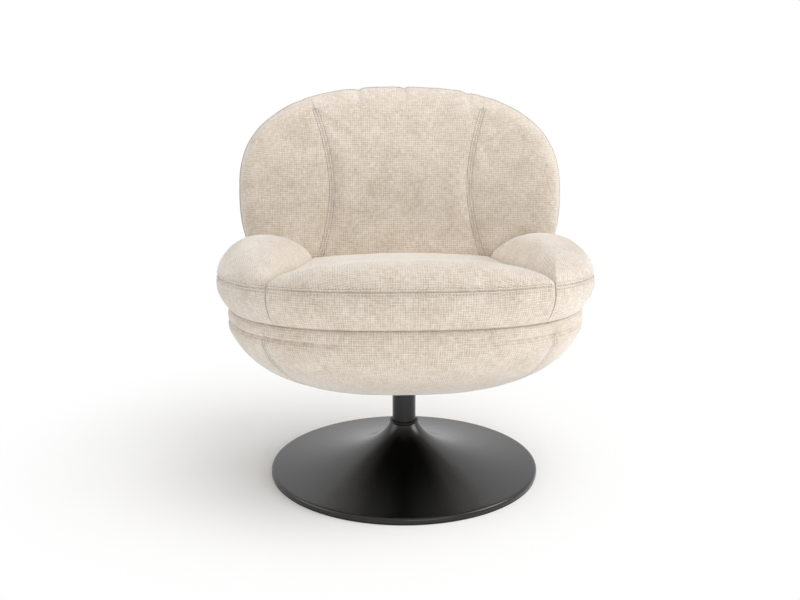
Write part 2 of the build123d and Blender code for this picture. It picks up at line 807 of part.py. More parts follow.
# Arm cores: timber blocks screwed to the deck
with BuildPart() as arm_core_right:
    with BuildSketch(Plane.XY.offset(deck_height)):
        with Locations((arm_centre_x, arm_core_y)):
            RectangleRounded(arm_core_width, arm_core_length, arm_core_corner)
    extrude(amount=arm_core_height)
    add(arm_screw_holes, mode=Mode.SUBTRACT)
save(arm_core_right, "arm_core_right")
with BuildPart() as arm_core_left:
    add(mirror(arm_core_right.part, about=Plane.YZ, mode=Mode.PRIVATE))
save(arm_core_left, "arm_core_left")

# Plan of the right arm: the upholstery outside the seat cushion, as far back as the tail
border_middle = (cushion_foot + seam_height) / 2
side_front_y = -deck_front + deck_front_bulge
side_rear_y = back_front_line(border_middle, seat_rear_half_width)
side_slope = (seat_rear_half_width - seat_front_half_width) / (side_rear_y - side_front_y)
beyond_front = side_front_y - deck_corner
side_start_x = seat_front_half_width + arm_seam_gap + side_slope * (beyond_front - side_front_y)
with BuildSketch() as arm_plan:
    add(deck_outline(0))
    with BuildLine():
        Polyline(
            (side_start_x, beyond_front),
            (deck_half_width + deck_corner, beyond_front),
            (deck_half_width + deck_corner, arm_tail_y),
            (arm_tail_x, arm_tail_y),
            (seat_rear_half_width + arm_seam_gap, side_rear_y),
            (side_start_x, beyond_front),
        )
    make_face(mode=Mode.INTERSECT)

# Arm pads: rolled border below the seam, then a dome that dives to the front, cut clear of the back
back_clearance = back_body(deck_height, soft_gap)
border_rises = (0.0, 0.2, 0.5, 0.8, 1.0)
dome_rises = (0.25, 0.5, 0.7, 0.85, 0.94, 0.985)
with BuildPart() as arm_pad_right:
    for rise in border_rises:
        arm_share = 1 - border_share(rise) * (arm_roll if rise < 0.5 else arm_seam_roll)
        with BuildSketch(Plane.XY.offset(cushion_foot + rise * (seam_height - cushion_foot))):
            scale(arm_plan.sketch, by=arm_share, about=(arm_centre_x, arm_centre_y, 0), mode=Mode.ADD)
    for rise in dome_rises:
        arm_share = (1 - arm_seam_roll) * sqrt(1 - rise**2)
        with BuildSketch(Plane.XY.offset(seam_height + rise * arm_crown)):
            scale(arm_plan.sketch, by=arm_share, about=(arm_centre_x, arm_centre_y, 0), mode=Mode.ADD)
    loft()
    add(back_clearance, mode=Mode.SUBTRACT)
    with BuildSketch(Plane.XY.offset(deck_height)):
        with Locations((arm_centre_x, arm_core_y)):
            RectangleRounded(
                arm_core_width + 2 * soft_gap, arm_core_length + 2 * soft_gap, arm_core_corner + soft_gap
            )
    extrude(amount=arm_core_height + soft_gap, mode=Mode.SUBTRACT)
save(arm_pad_right, "arm_pad_right")
with BuildPart() as arm_pad_left:
    add(mirror(arm_pad_right.part, about=Plane.YZ, mode=Mode.PRIVATE))
save(arm_pad_left, "arm_pad_left")

# Back cleat: timber behind the seat cushion that holds the back board to the deck
with BuildPart() as back_cleat:
    add(wrap_slab(-cleat_thickness, -seat_gap, cleat_half_width, deck_height, cleat_height))
    add(cleat_screw_holes, mode=Mode.SUBTRACT)
    add(back_screw_holes, mode=Mode.SUBTRACT)
save(back_cleat, "back_cleat")

# Back board: moulded plywood shell
with BuildPart() as back_board:
    add(board_body())
    add(back_screw_holes, mode=Mode.SUBTRACT)
save(back_board, "back_board")

# Back pads: one padded body parted along the board's front face
whole_back = back_body(cushion_foot)
pad_reach = back_front_depth + back_rear_depth
pad_half = back_half_width + back_edge_front
with BuildPart() as back_front_pad:
    add(whole_back)
    add(
        wrap_slab(-back_seam_gap / 2, pad_reach, pad_half, deck_height, back_height),
        mode=Mode.SUBTRACT,
    )
    add(
        wrap_slab(
            -cleat_thickness - soft_gap,
            soft_gap,
            cleat_half_width + soft_gap,
            deck_height,
            cleat_height + soft_gap,
        ),
        mode=Mode.SUBTRACT,
    )
save(back_front_pad, "back_front_pad")
with BuildPart() as back_rear_pad:
    add(whole_back)
    add(
        wrap_slab(-pad_reach, back_seam_gap / 2, pad_half, deck_height, back_height),
        mode=Mode.SUBTRACT,
    )
    add(board_body(soft_gap), mode=Mode.SUBTRACT)
save(back_rear_pad, "back_rear_pad")
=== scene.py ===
"""Looks of the swivel armchair: padded covers, stitching, finishes and a photo stage."""
import json
import math

import bpy
import numpy as np
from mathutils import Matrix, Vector

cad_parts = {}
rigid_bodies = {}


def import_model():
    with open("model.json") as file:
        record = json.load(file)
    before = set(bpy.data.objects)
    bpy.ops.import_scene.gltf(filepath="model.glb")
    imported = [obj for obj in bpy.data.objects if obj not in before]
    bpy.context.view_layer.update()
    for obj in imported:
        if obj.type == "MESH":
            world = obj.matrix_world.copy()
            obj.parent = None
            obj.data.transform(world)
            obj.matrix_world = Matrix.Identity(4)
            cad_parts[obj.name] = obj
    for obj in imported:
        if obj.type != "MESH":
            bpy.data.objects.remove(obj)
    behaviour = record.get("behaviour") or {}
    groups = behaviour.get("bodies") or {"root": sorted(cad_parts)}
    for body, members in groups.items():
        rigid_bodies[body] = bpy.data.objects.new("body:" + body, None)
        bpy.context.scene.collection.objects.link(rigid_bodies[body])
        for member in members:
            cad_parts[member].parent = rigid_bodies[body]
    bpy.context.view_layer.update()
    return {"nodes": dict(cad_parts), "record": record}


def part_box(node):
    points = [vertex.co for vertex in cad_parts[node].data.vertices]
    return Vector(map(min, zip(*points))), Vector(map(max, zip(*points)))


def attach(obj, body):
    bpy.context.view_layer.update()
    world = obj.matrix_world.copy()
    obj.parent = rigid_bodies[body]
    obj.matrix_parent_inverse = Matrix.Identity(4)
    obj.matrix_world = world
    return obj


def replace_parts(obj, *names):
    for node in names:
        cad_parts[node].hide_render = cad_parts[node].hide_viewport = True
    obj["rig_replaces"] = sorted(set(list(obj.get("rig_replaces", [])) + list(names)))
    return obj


bl_info = {
    "name": "Swivel armchair looks",
    "version": (1, 0, 0),
    "blender": (4, 5, 0),
    "location": "3D View > Sidebar > Armchair",
    "description": "Builds the covers, stitching, finishes and stage of a padded swivel armchair",
    "category": "Object",
}

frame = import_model()

SEED = 11
SEAT_BODY = "seat"
BASE_BODY = "base"

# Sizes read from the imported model, in metres
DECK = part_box("deck_board")[1].z
HALF_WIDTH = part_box("arm_pad_right")[1].x
FRONT = -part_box("seat_cushion")[0].y
POD_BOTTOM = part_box("pod_cover")[0].z
BACK_HALF_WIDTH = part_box("back_rear_pad")[1].x
BACK_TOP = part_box("back_rear_pad")[1].z
BASE_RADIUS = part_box("base_cover")[1].x
NECK_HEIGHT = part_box("base_cover")[1].z
COLUMN_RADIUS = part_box("column_tube")[1].x

# The back's egg outline, as in the solids: widest level and lower reach above the deck, and its exponent
BACK_WIDE = 0.190
BACK_BELOW = 0.265
BACK_POWER = 2.5

# The front pad inside that outline, the roll of its edge, its foot and the top end of its bowed seams
BACK_INSET = 0.002
BACK_EDGE = 0.034
BACK_FOOT_GAP = 0.0015
BACK_SEAM_TOP = 0.345

# Where the seat cushion meets the arms, at the front and at the rear, and how far covers stay from the back
SEAT_FRONT_HALF = HALF_WIDTH - 0.110
SEAT_REAR_HALF = HALF_WIDTH - 0.164
COVER_GAP = 0.005

# Sewn rows lie one pitch apart. Covers carry the offset from the middle row, raised by the reach, so that 0
# is far from a seam. Past a seam's end the offset grows by this many times the distance
SEWN_PITCH = 0.0055
SEWN_REACH = 0.05
SEWN_END_GROWTH = 3

# Bands of a wave texture over a length of tau, at scale 1
WAVE_BANDS = 20


class ArmchairSizes(bpy.types.PropertyGroup):
    """Sizes of the padded covers."""

    rear: bpy.props.FloatProperty(
        name="Deck rear", description="Reach of the deck behind the swivel axis",
        default=0.273, unit="LENGTH",
    )
    squareness: bpy.props.FloatProperty(
        name="Plan squareness", description="Exponent of the superellipse plan", default=2.6,
    )
    border: bpy.props.FloatProperty(
        name="Border height", description="From the deck to the front seam",
        default=0.069, unit="LENGTH",
    )
    rake: bpy.props.FloatProperty(
        name="Seat rake", description="Fall of the top seam per metre towards the rear", default=0.05,
    )
    seat_crown: bpy.props.FloatProperty(
        name="Seat crown", description="Height of the seat cushion above its seam",
        default=0.034, unit="LENGTH",
    )
    arm_crown: bpy.props.FloatProperty(
        name="Arm crown", description="Height of an arm above its seam",
        default=0.060, unit="LENGTH",
    )
    lean: bpy.props.FloatProperty(
        name="Back lean", description="Lean of the back from the vertical",
        default=math.radians(16), subtype="ANGLE",
    )
    wrap: bpy.props.FloatProperty(
        name="Back wrap", description="Radius of the back's curve in plan",
        default=0.62, unit="LENGTH",
    )
    back_foot: bpy.props.FloatProperty(
        name="Back foot", description="Middle of the back behind the axis at the deck",
        default=0.1962, unit="LENGTH",
    )
    back_fill: bpy.props.FloatProperty(
        name="Back fill", description="Depth of the front pad at its middle",
        default=0.082, unit="LENGTH",
    )
    stitch: bpy.props.FloatProperty(
        name="Stitch length", description="Pitch of the top stitching",
        default=0.0055, unit="LENGTH",
    )


class ArmchairColours(bpy.types.PropertyGroup):
    """Colours as sRGB hex values."""

    cloth: bpy.props.StringProperty(name="Cloth", description="Raised yarn of the cover", default="#ECE3D8")
    # The cloth shade is also the colour of the painted shade in the sewn grooves
    cloth_shade: bpy.props.StringProperty(
        name="Cloth shade", description="Yarn in the hollows", default="#C0AE99",
    )
    thread: bpy.props.StringProperty(name="Thread", description="Top stitching", default="#F7F1E9")
    powder: bpy.props.StringProperty(name="Powder coat", description="Base and column", default="#030303")
    floor: bpy.props.StringProperty(name="Floor", description="Studio floor", default="#FAFAF9")


def sizes():
    """The sizes that the panel shows."""
    return bpy.context.scene.armchair_sizes


def colours():
    """The colours that the panel shows."""
    return bpy.context.scene.armchair_colours


def linear(hex_colour):
    """Linear RGBA of an sRGB hex colour."""
    channels = np.array([int(hex_colour[i:i + 2], 16) / 255 for i in (1, 3, 5)])
    low = channels / 12.92
    high = ((channels + 0.055) / 1.055) ** 2.4
    return (*np.where(channels <= 0.04045, low, high).tolist(), 1.0)


def add_node(tree, kind, settings=None, values=None, links=None):
    """Add a node with its settings, socket values and incoming links."""
    node = tree.nodes.new(kind)
    for key, value in (settings or {}).items():
        setattr(node, key, value)
    for key, value in (values or {}).items():
        node.inputs[key].default_value = value
    for key, socket in (links or {}).items():
        tree.links.new(socket, node.inputs[key])
    return node


def new_material(name):
    """Empty material with its shader and output."""
    material = bpy.data.materials.new(name)
    material.use_nodes = True
    tree = material.node_tree
    return material, tree, tree.nodes["Principled BSDF"]


# Materials


def woven_chenille(colour, shade):
    """Flat-woven chenille: soft yarns crossing at right angles, with slubs and a brushed nap.

    The eye gets a fine grid, short streaks along both yarns, slow cloudy shading where the nap lies
    differently, and pale edges from the fuzz. The yarn pitch of 1.5 mm is drawn at 4 mm, so that it shows.
    """
    yarn_pitch = 0.004
    slub_length = 0.014
    slub_width = 0.0028
    cloud = 0.045
    yarn_tone, slub_tone, nap_tone, groove_shade_ridge_light = 0.22, 0.85, 0.75, -0.45
    slub_height = 0.9
    wave_scale = math.tau / (WAVE_BANDS * yarn_pitch)
    material, tree, shader = new_material("woven chenille")
    uv = add_node(tree, "ShaderNodeUVMap", {"uv_map": "weave"}).outputs["UV"]
    place = add_node(tree, "ShaderNodeTexCoord").outputs["Object"]
    waves = [
        add_node(
            tree, "ShaderNodeTexWave", {"bands_direction": way},
            {"Scale": wave_scale, "Distortion": 0.35, "Detail": 1.0, "Detail Scale": 0.6}, {"Vector": uv},
        ).outputs["Fac"]
        for way in ("X", "Y")
    ]
    yarns = add_node(tree, "ShaderNodeMath", {"operation": "ADD"}, None, {0: waves[0], 1: waves[1]})
    streaks = []
    for stretch in ((1 / slub_length, 1 / slub_width, 1.0), (1 / slub_width, 1 / slub_length, 1.0)):
        stretched = add_node(tree, "ShaderNodeMapping", None, {"Scale": stretch}, {"Vector": uv})
        streak = add_node(
            tree, "ShaderNodeTexNoise", None, {"Scale": 1.0, "Detail": 2.0},
            {"Vector": stretched.outputs["Vector"]},
        )
        streaks.append(streak.outputs["Fac"])
    slubs = add_node(tree, "ShaderNodeMath", {"operation": "ADD"}, None, {0: streaks[0], 1: streaks[1]})
    nap = add_node(
        tree, "ShaderNodeTexNoise", None,
        {"Scale": 1 / cloud, "Detail": 5.0, "Roughness": 0.65}, {"Vector": place},
    )
    tone = add_node(
        tree, "ShaderNodeMath", {"operation": "MULTIPLY"}, {1: yarn_tone}, {0: yarns.outputs[0]}
    )
    for share, source in ((slub_tone, slubs.outputs[0]), (nap_tone, nap.outputs["Fac"])):
        tone = add_node(
            tree, "ShaderNodeMath", {"operation": "MULTIPLY_ADD"}, {1: share},
            {0: source, 2: tone.outputs[0]},
        )
    spread = add_node(
        tree, "ShaderNodeMapRange", None,
        {"From Min": 1.05, "From Max": 1.80, "To Min": 0.0, "To Max": 1.0}, {"Value": tone.outputs[0]},
    )
    # The sewn grooves are painted into the colour as well as bumped: painted shade in each groove and a
    # painted highlight on the ridges between
    groove = sewn_grooves(tree)
    sunk = add_node(
        tree, "ShaderNodeMath", {"operation": "MULTIPLY_ADD"}, {1: groove_shade_ridge_light},
        {0: groove, 2: spread.outputs["Result"]},
    )
    ramp = add_node(tree, "ShaderNodeValToRGB", None, None, {"Fac": sunk.outputs[0]})
    ramp.color_ramp.elements[0].color = linear(shade)
    ramp.color_ramp.elements[1].color = linear(colour)
    height = add_node(
        tree, "ShaderNodeMath", {"operation": "MULTIPLY_ADD"}, {1: slub_height},
        {0: slubs.outputs[0], 2: yarns.outputs[0]},
    )
    sewn_bump = add_node(
        tree, "ShaderNodeBump", {"invert": True}, {"Strength": 0.7, "Distance": 0.0012}, {"Height": groove}
    )
    bump = add_node(
        tree, "ShaderNodeBump", None, {"Strength": 0.4, "Distance": 0.0007},
        {"Height": height.outputs[0], "Normal": sewn_bump.outputs["Normal"]},
    )
    tree.links.new(ramp.outputs["Color"], shader.inputs["Base Color"])
    tree.links.new(bump.outputs["Normal"], shader.inputs["Normal"])
    shader.inputs["Roughness"].default_value = 0.92
    shader.inputs["IOR"].default_value = 1.45
    shader.inputs["Specular IOR Level"].default_value = 0.15
    shader.inputs["Sheen Weight"].default_value = 0.85
    shader.inputs["Sheen Roughness"].default_value = 0.5
    shader.inputs["Sheen Tint"].default_value = linear("#FFFDFA")
    return material


def sewn_grooves(tree):
    """Depth of three narrow grooves, where thread pulls the cover in along a seam and beside it.

    It is 1 in a groove, below 0 on the ridges between grooves, and 0 away from them. Besides the bump, the
    chenille uses it for painted shade in the grooves and a painted highlight on the ridges.
    """
    fade, ridge = 0.0015, -0.7
    sewn = add_node(tree, "ShaderNodeAttribute", {"attribute_name": "sewn"}).outputs["Fac"]
    offset = add_node(tree, "ShaderNodeMath", {"operation": "SUBTRACT"}, {1: SEWN_REACH}, {0: sewn})
    to_row = add_node(
        tree, "ShaderNodeMath", {"operation": "PINGPONG"}, {1: SEWN_PITCH / 2}, {0: offset.outputs[0]}
    )
    sunk = add_node(
        tree, "ShaderNodeMapRange", {"interpolation_type": "SMOOTHSTEP"},
        {"From Min": 0.0, "From Max": SEWN_PITCH / 2, "To Min": 1.0, "To Max": ridge},
        {"Value": to_row.outputs[0]},
    )
    size = add_node(tree, "ShaderNodeMath", {"operation": "ABSOLUTE"}, None, {0: offset.outputs[0]})
    near = add_node(
        tree, "ShaderNodeMapRange", None,
        {"From Min": SEWN_PITCH, "From Max": SEWN_PITCH + fade, "To Min": 1.0, "To Max": 0.0},
        {"Value": size.outputs[0]},
    )
    groove = add_node(
        tree, "ShaderNodeMath", {"operation": "MULTIPLY"}, None,
        {0: sunk.outputs["Result"], 1: near.outputs["Result"]},
    )
    return groove.outputs[0]


def spun_thread(colour):
    """Spun polyester thread: a twisted cord with a faint gloss."""
    twist = 0.0016
    material, tree, shader = new_material("spun polyester thread")
    place = add_node(tree, "ShaderNodeTexCoord").outputs["Object"]
    strands = add_node(
        tree, "ShaderNodeTexWave", {"bands_direction": "DIAGONAL"},
        {"Scale": math.tau / (WAVE_BANDS * twist)}, {"Vector": place},
    )
    bump = add_node(
        tree, "ShaderNodeBump", None, {"Strength": 0.3, "Distance": 0.0003},
        {"Height": strands.outputs["Fac"]},
    )
    tree.links.new(bump.outputs["Normal"], shader.inputs["Normal"])
    shader.inputs["Base Color"].default_value = linear(colour)
    shader.inputs["Roughness"].default_value = 0.6
    shader.inputs["Sheen Weight"].default_value = 0.2
    return material


def speckled(name, colour, other, grain, roughness, swing, relief, metallic=0.0, stretch=(1.0, 1.0, 1.0)):
    """Rigid finish whose colour, gloss and surface vary with one noise of a given grain in metres.

    The stretch divides the grain along each axis, so a small one gives long streaks.
    """
    ramp_ends = (0.3, 0.7)
    material, tree, shader = new_material(name)
    place = add_node(tree, "ShaderNodeTexCoord").outputs["Object"]
    stretched = add_node(tree, "ShaderNodeMapping", None, {"Scale": stretch}, {"Vector": place})
    noise = add_node(
        tree, "ShaderNodeTexNoise", None, {"Scale": 1 / grain, "Detail": 3.0},
        {"Vector": stretched.outputs["Vector"]},
    )
    ramp = add_node(tree, "ShaderNodeValToRGB", None, None, {"Fac": noise.outputs["Fac"]})
    for element, end, tone in zip(ramp.color_ramp.elements, ramp_ends, (colour, other)):
        element.position = end
        element.color = linear(tone)
    gloss = add_node(
        tree, "ShaderNodeMapRange", None, {"To Min": roughness - swing, "To Max": roughness + swing},
        {"Value": noise.outputs["Fac"]},
    )
    bump = add_node(
        tree, "ShaderNodeBump", None, {"Strength": 0.25, "Distance": relief},
        {"Height": noise.outputs["Fac"]},
    )
    tree.links.new(ramp.outputs["Color"], shader.inputs["Base Color"])
    tree.links.new(gloss.outputs["Result"], shader.inputs["Roughness"])
    tree.links.new(bump.outputs["Normal"], shader.inputs["Normal"])
    shader.inputs["Metallic"].default_value = metallic
    return material


def cloth():
    """The one cover material, made once."""
    found = bpy.data.materials.get("woven chenille")
    return found or woven_chenille(colours().cloth, colours().cloth_shade)


def satin_black():
    """The one powder coat, made once: a fine orange peel over black, with a soft gloss."""
    found = bpy.data.materials.get("satin powder coat")
    return found or speckled(
        "satin powder coat", colours().powder, "#060606",
        grain=0.0012, roughness=0.23, swing=0.03, relief=0.00008,
    )


def shown_rays(tree):
    """1 for what the camera sees, straight or through gloss and glass, and 0 for light on the object."""
    path = add_node(tree, "ShaderNodeLightPath")
    shown = path.outputs["Is Camera Ray"]
    for kind in ("Is Glossy Ray", "Is Transmission Ray"):
        either = add_node(
            tree, "ShaderNodeMath", {"operation": "MAXIMUM"}, None, {0: shown, 1: path.outputs[kind]}
        )
        shown = either.outputs[0]
    return shown


# Shapes


def disc_grid(count):
    """Radius and angle of a square grid pressed onto a disc.

    The square's s and t go to x = s sqrt(1 - t^2 / 2) and y = t sqrt(1 - s^2 / 2).
    """
    line = np.linspace(-1.0, 1.0, count)
    s, t = np.meshgrid(line, line, indexing="ij")
    x = s * np.sqrt(1 - t**2 / 2)
    y = t * np.sqrt(1 - s**2 / 2)
    return np.clip(np.hypot(x, y), 0, 1), np.arctan2(y, x)


def disc_index(radius, angle, count):
    """Fractional rows and columns on the square grid of points on the disc: the inverse of disc_grid.

    With b = x^2 - y^2, s is half of sqrt(2 + b + 2 sqrt(2) x) - sqrt(2 + b - 2 sqrt(2) x). For t, x and y
    change places.
    """
    rim = 0.9995
    x = np.clip(radius, 0, rim) * np.cos(angle)
    y = np.clip(radius, 0, rim) * np.sin(angle)
    places = []
    for way, bend in ((x, x**2 - y**2), (y, y**2 - x**2)):
        far = np.sqrt(np.maximum(2 + bend + 2 * math.sqrt(2) * way, 0))
        near = np.sqrt(np.maximum(2 + bend - 2 * math.sqrt(2) * way, 0))
        places.append(((far - near) / 2 + 1) / 2 * (count - 1))
    return places


def grid_sample(grid, rows, columns):
    """Values of a grid at fractional rows and columns, blended from the four cells around."""
    last_row, last_column = grid.shape[0] - 2, grid.shape[1] - 2
    row = np.clip(np.floor(rows).astype(int), 0, last_row)
    column = np.clip(np.floor(columns).astype(int), 0, last_column)
    a = (rows - row)[:, None]
    b = (columns - column)[:, None]
    near = grid[row, column] * (1 - b) + grid[row, column + 1] * b
    far = grid[row + 1, column] * (1 - b) + grid[row + 1, column + 1] * b
    return near * (1 - a) + far * a


def plan_point(angle, half, front, rear, squareness):
    """Superellipse plan about the middle of front and rear: half c|c|^(2/n-1), and the same along Y."""
    middle = (rear - front) / 2
    reach = (rear + front) / 2
    c, s = np.cos(angle), np.sin(angle)
    power = 2 / squareness
    x = half * np.sign(c) * np.abs(c) ** power
    y = middle + reach * np.sign(s) * np.abs(s) ** power
    return x, y


class Outline:
    """Closed outline seen from a centre: points by angle in a space scaled to the outline's own size.

    Each point carries a weight, 1 where the outline is rolled and shows, 0 where it meets a neighbour. The
    radius is softened by a bell curve over the angle. A softer copy of the outline rounds its corners for
    the crown inside it.
    """

    def __init__(self, points, centre, soften, weight=None, crown_soften=0.0):
        samples, reach = 2880, 400
        self.centre = np.array(centre)
        offset = np.asarray(points) - self.centre
        self.scale = np.abs(offset).max(0)
        scaled = offset / self.scale
        angle = np.arctan2(scaled[:, 1], scaled[:, 0])
        order = np.argsort(angle)
        weight = np.ones(len(offset)) if weight is None else np.asarray(weight, float)
        self.angle = np.linspace(-np.pi, np.pi, samples + 1)[:-1]
        taps = np.arange(-reach, reach + 1) * (self.angle[1] - self.angle[0])

        def softened(row, width):
            kernel = np.exp(-0.5 * (taps / width) ** 2)
            even = np.interp(self.angle, angle[order], row[order], period=math.tau)
            return np.convolve(np.pad(even, reach, mode="wrap"), kernel / kernel.sum(), mode="valid")

        radius = np.hypot(*scaled.T)
        self.radius = softened(radius, soften)
        self.soft_radius = np.minimum(softened(radius, max(soften, crown_soften)), self.radius)
        self.weight = softened(weight, soften)

    def at(self, angle):
        """Points of the outline at the angles, the outward normals there and the weights."""
        nudge = 0.003
        along = self.point(angle + nudge) - self.point(angle - nudge)
        normal = np.stack([along[..., 1], -along[..., 0]], -1)
        normal /= np.linalg.norm(normal, axis=-1, keepdims=True)
        return self.point(angle), normal, np.interp(angle, self.angle, self.weight, period=math.tau)

    def point(self, angle, soft=False):
        """Points of the outline, or of its softer copy, at the angles."""
        radius = np.interp(angle, self.angle, self.soft_radius if soft else self.radius, period=math.tau)
        unit = np.stack([np.cos(angle), np.sin(angle)], -1)
        return self.centre + radius[..., None] * unit * self.scale

    def share(self, points):
        """Share of the way from the centre to the outline at points of the plan, and their angles."""
        offset = (points - self.centre) / self.scale
        angle = np.arctan2(offset[..., 1], offset[..., 0])
        rim = np.interp(angle, self.angle, self.radius, period=math.tau)
        return np.hypot(offset[..., 0], offset[..., 1]) / rim, angle


def grid_faces(index):
    """Quads of a grid of vertex numbers."""
    return np.stack([index[:-1, :-1], index[1:, :-1], index[1:, 1:], index[:-1, 1:]], -1).reshape(-1, 4)


def edge_loop(grid):
    """Vertices or numbers round the edge of a square grid, in order."""
    return np.concatenate([grid[0, :-1], grid[:-1, -1], grid[-1, :0:-1], grid[:0:-1, 0]])


def close_below(upper, rings, centre):
    """Points and faces of a sheet that is closed by rings from its edge to a point behind it."""
    count = len(upper)
    index = np.arange(count * count).reshape(count, count)
    loop = edge_loop(index)
    size = len(loop)
    points = np.concatenate([upper.reshape(-1, 3), *rings, [centre]])
    circles = np.stack([loop] + [count**2 + i * size + np.arange(size) for i in range(len(rings))])
    sides = grid_faces(np.concatenate([circles, circles[:, :1]], 1))[:, ::-1]
    last = circles[-1]
    fan = np.stack([last, np.roll(last, -1), np.full(size, len(points) - 1)], 1)
    return points, np.concatenate([grid_faces(index), sides]), fan


def refine(move, count):
    """A coarse grid of movements carried to a finer grid: blended between cells, then evened out."""
    passes = 4
    line = np.linspace(0, len(move) - 1, count)
    rows, columns = np.meshgrid(line, line, indexing="ij")
    fine = grid_sample(move, rows.ravel(), columns.ravel()).reshape(count, count, 3)
    for _ in range(passes):
        for axis in (0, 1):
            wide = np.concatenate([np.take(fine, [0], axis), fine, np.take(fine, [-1], axis)], axis)
            low, mid, high = (np.take(wide, range(i, i + count), axis) for i in range(3))
            fine = (low + 2 * mid + high) / 4
    return fine


def make_piece(name, points, quads, material, weave=None, triangles=None, sewn=None):
    """Mesh object at the origin from arrays of points and faces.

    The weave map has one place per corner. The first points carry their offset from a sewn seam.
    """
    triangles = np.zeros((0, 3), int) if triangles is None else triangles
    mesh = bpy.data.meshes.new(name)
    mesh.vertices.add(len(points))
    mesh.vertices.foreach_set("co", np.asarray(points, np.float32).ravel())
    corners = np.concatenate([quads.ravel(), triangles.ravel()]).astype(np.int32)
    mesh.loops.add(len(corners))
    mesh.loops.foreach_set("vertex_index", corners)
    starts = np.concatenate([np.arange(len(quads)) * 4, quads.size + np.arange(len(triangles)) * 3])
    mesh.polygons.add(len(starts))
    mesh.polygons.foreach_set("loop_start", starts.astype(np.int32))
    mesh.update(calc_edges=True)
    mesh.validate()
    mesh.shade_smooth()
    if weave is not None:
        flat = np.concatenate([weave.reshape(-1, 2), np.zeros((triangles.size, 2))])
        mesh.uv_layers.new(name="weave").data.foreach_set("uv", flat.astype(np.float32).ravel())
    if sewn is not None:
        raised = np.zeros(len(points), np.float32)
        raised[:sewn.size] = SEWN_REACH + np.clip(sewn.ravel(), -SEWN_REACH, SEWN_REACH)
        mesh.attributes.new("sewn", "FLOAT", "POINT").data.foreach_set("value", raised)
    mesh.materials.append(material)
    piece = bpy.data.objects.new(name, mesh)
    bpy.context.scene.collection.objects.link(piece)
    return piece


def positions(mesh):
    """Vertex positions of a mesh as an array."""
    flat = np.empty(len(mesh.vertices) * 3, np.float32)
    mesh.vertices.foreach_get("co", flat)
    return flat.reshape(-1, 3).astype(float)


def face_directions(grid):
    """Unit directions across a grid's surface: the cross product of its two gradients."""
    across = np.cross(np.gradient(grid, axis=0), np.gradient(grid, axis=1))
    return across / np.maximum(np.linalg.norm(across, axis=-1, keepdims=True), 1e-12)


def swell(upper, held, rings, centre, cap):
    """Movement of a sheet's points when it is closed below, blown up as cloth for 20 frames and capped.

    Held points are pinned.
    """
    frames = 20
    count = len(upper)
    scene = bpy.context.scene
    points, quads, triangles = close_below(upper, rings, centre)
    dummy = make_piece("swelling_cover", points, quads, cloth(), None, triangles)
    pinned = np.ones(len(points), bool)
    pinned[:count**2] = held.ravel()
    group = dummy.vertex_groups.new(name="held")
    group.add(np.nonzero(pinned)[0].tolist(), 1.0, "REPLACE")
    modifier = dummy.modifiers.new("swell", "CLOTH")
    settings = modifier.settings
    settings.quality = 5
    settings.mass = 0.3
    settings.tension_stiffness = 25
    settings.compression_stiffness = 25
    settings.shear_stiffness = 12
    settings.bending_stiffness = 2.0
    settings.use_pressure = True
    settings.uniform_pressure_force = 4.0
    settings.vertex_group_mass = "held"
    settings.effector_weights.gravity = 0.0
    modifier.point_cache.frame_start = 1
    modifier.point_cache.frame_end = frames
    for step in range(1, frames + 1):
        scene.frame_set(step)
    after = positions(dummy.evaluated_get(bpy.context.evaluated_depsgraph_get()).data)
    scene.frame_set(1)
    move = (after - points)[:count**2]
    bpy.data.objects.remove(dummy)
    length = np.linalg.norm(move, axis=1, keepdims=True)
    return (move * np.minimum(1, cap / np.maximum(length, 1e-9))).reshape(count, count, 3)


def ripple(along, waves, seed):
    """Sum of sines with seeded phases and falling height, for gathers along a seam."""
    draw = np.random.default_rng(seed)
    phases = draw.uniform(0, math.tau, len(waves))
    heights = draw.uniform(0.5, 1.0, len(waves))
    return sum(h * np.sin(w * along + p) for w, h, p in zip(waves, heights, phases)) / len(waves)


# Cushions


def finish_cover(piece, body, node):
    """Declare a finished cover: its body and the solid it stands for."""
    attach(piece, body)
    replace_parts(piece, node)


def seam_height(y):
    """Height of the top seam: the border's height at the front, falling by the rake towards the rear."""
    return DECK + sizes().border - sizes().rake * (y + FRONT)


# What the stitching needs from the covers: rows of points with the surface's normals
seam_rows = []


def keep_seam(points, outward):
    """Remember a seam's points and outward directions for the stitching."""
    seam_rows.append((points, outward))


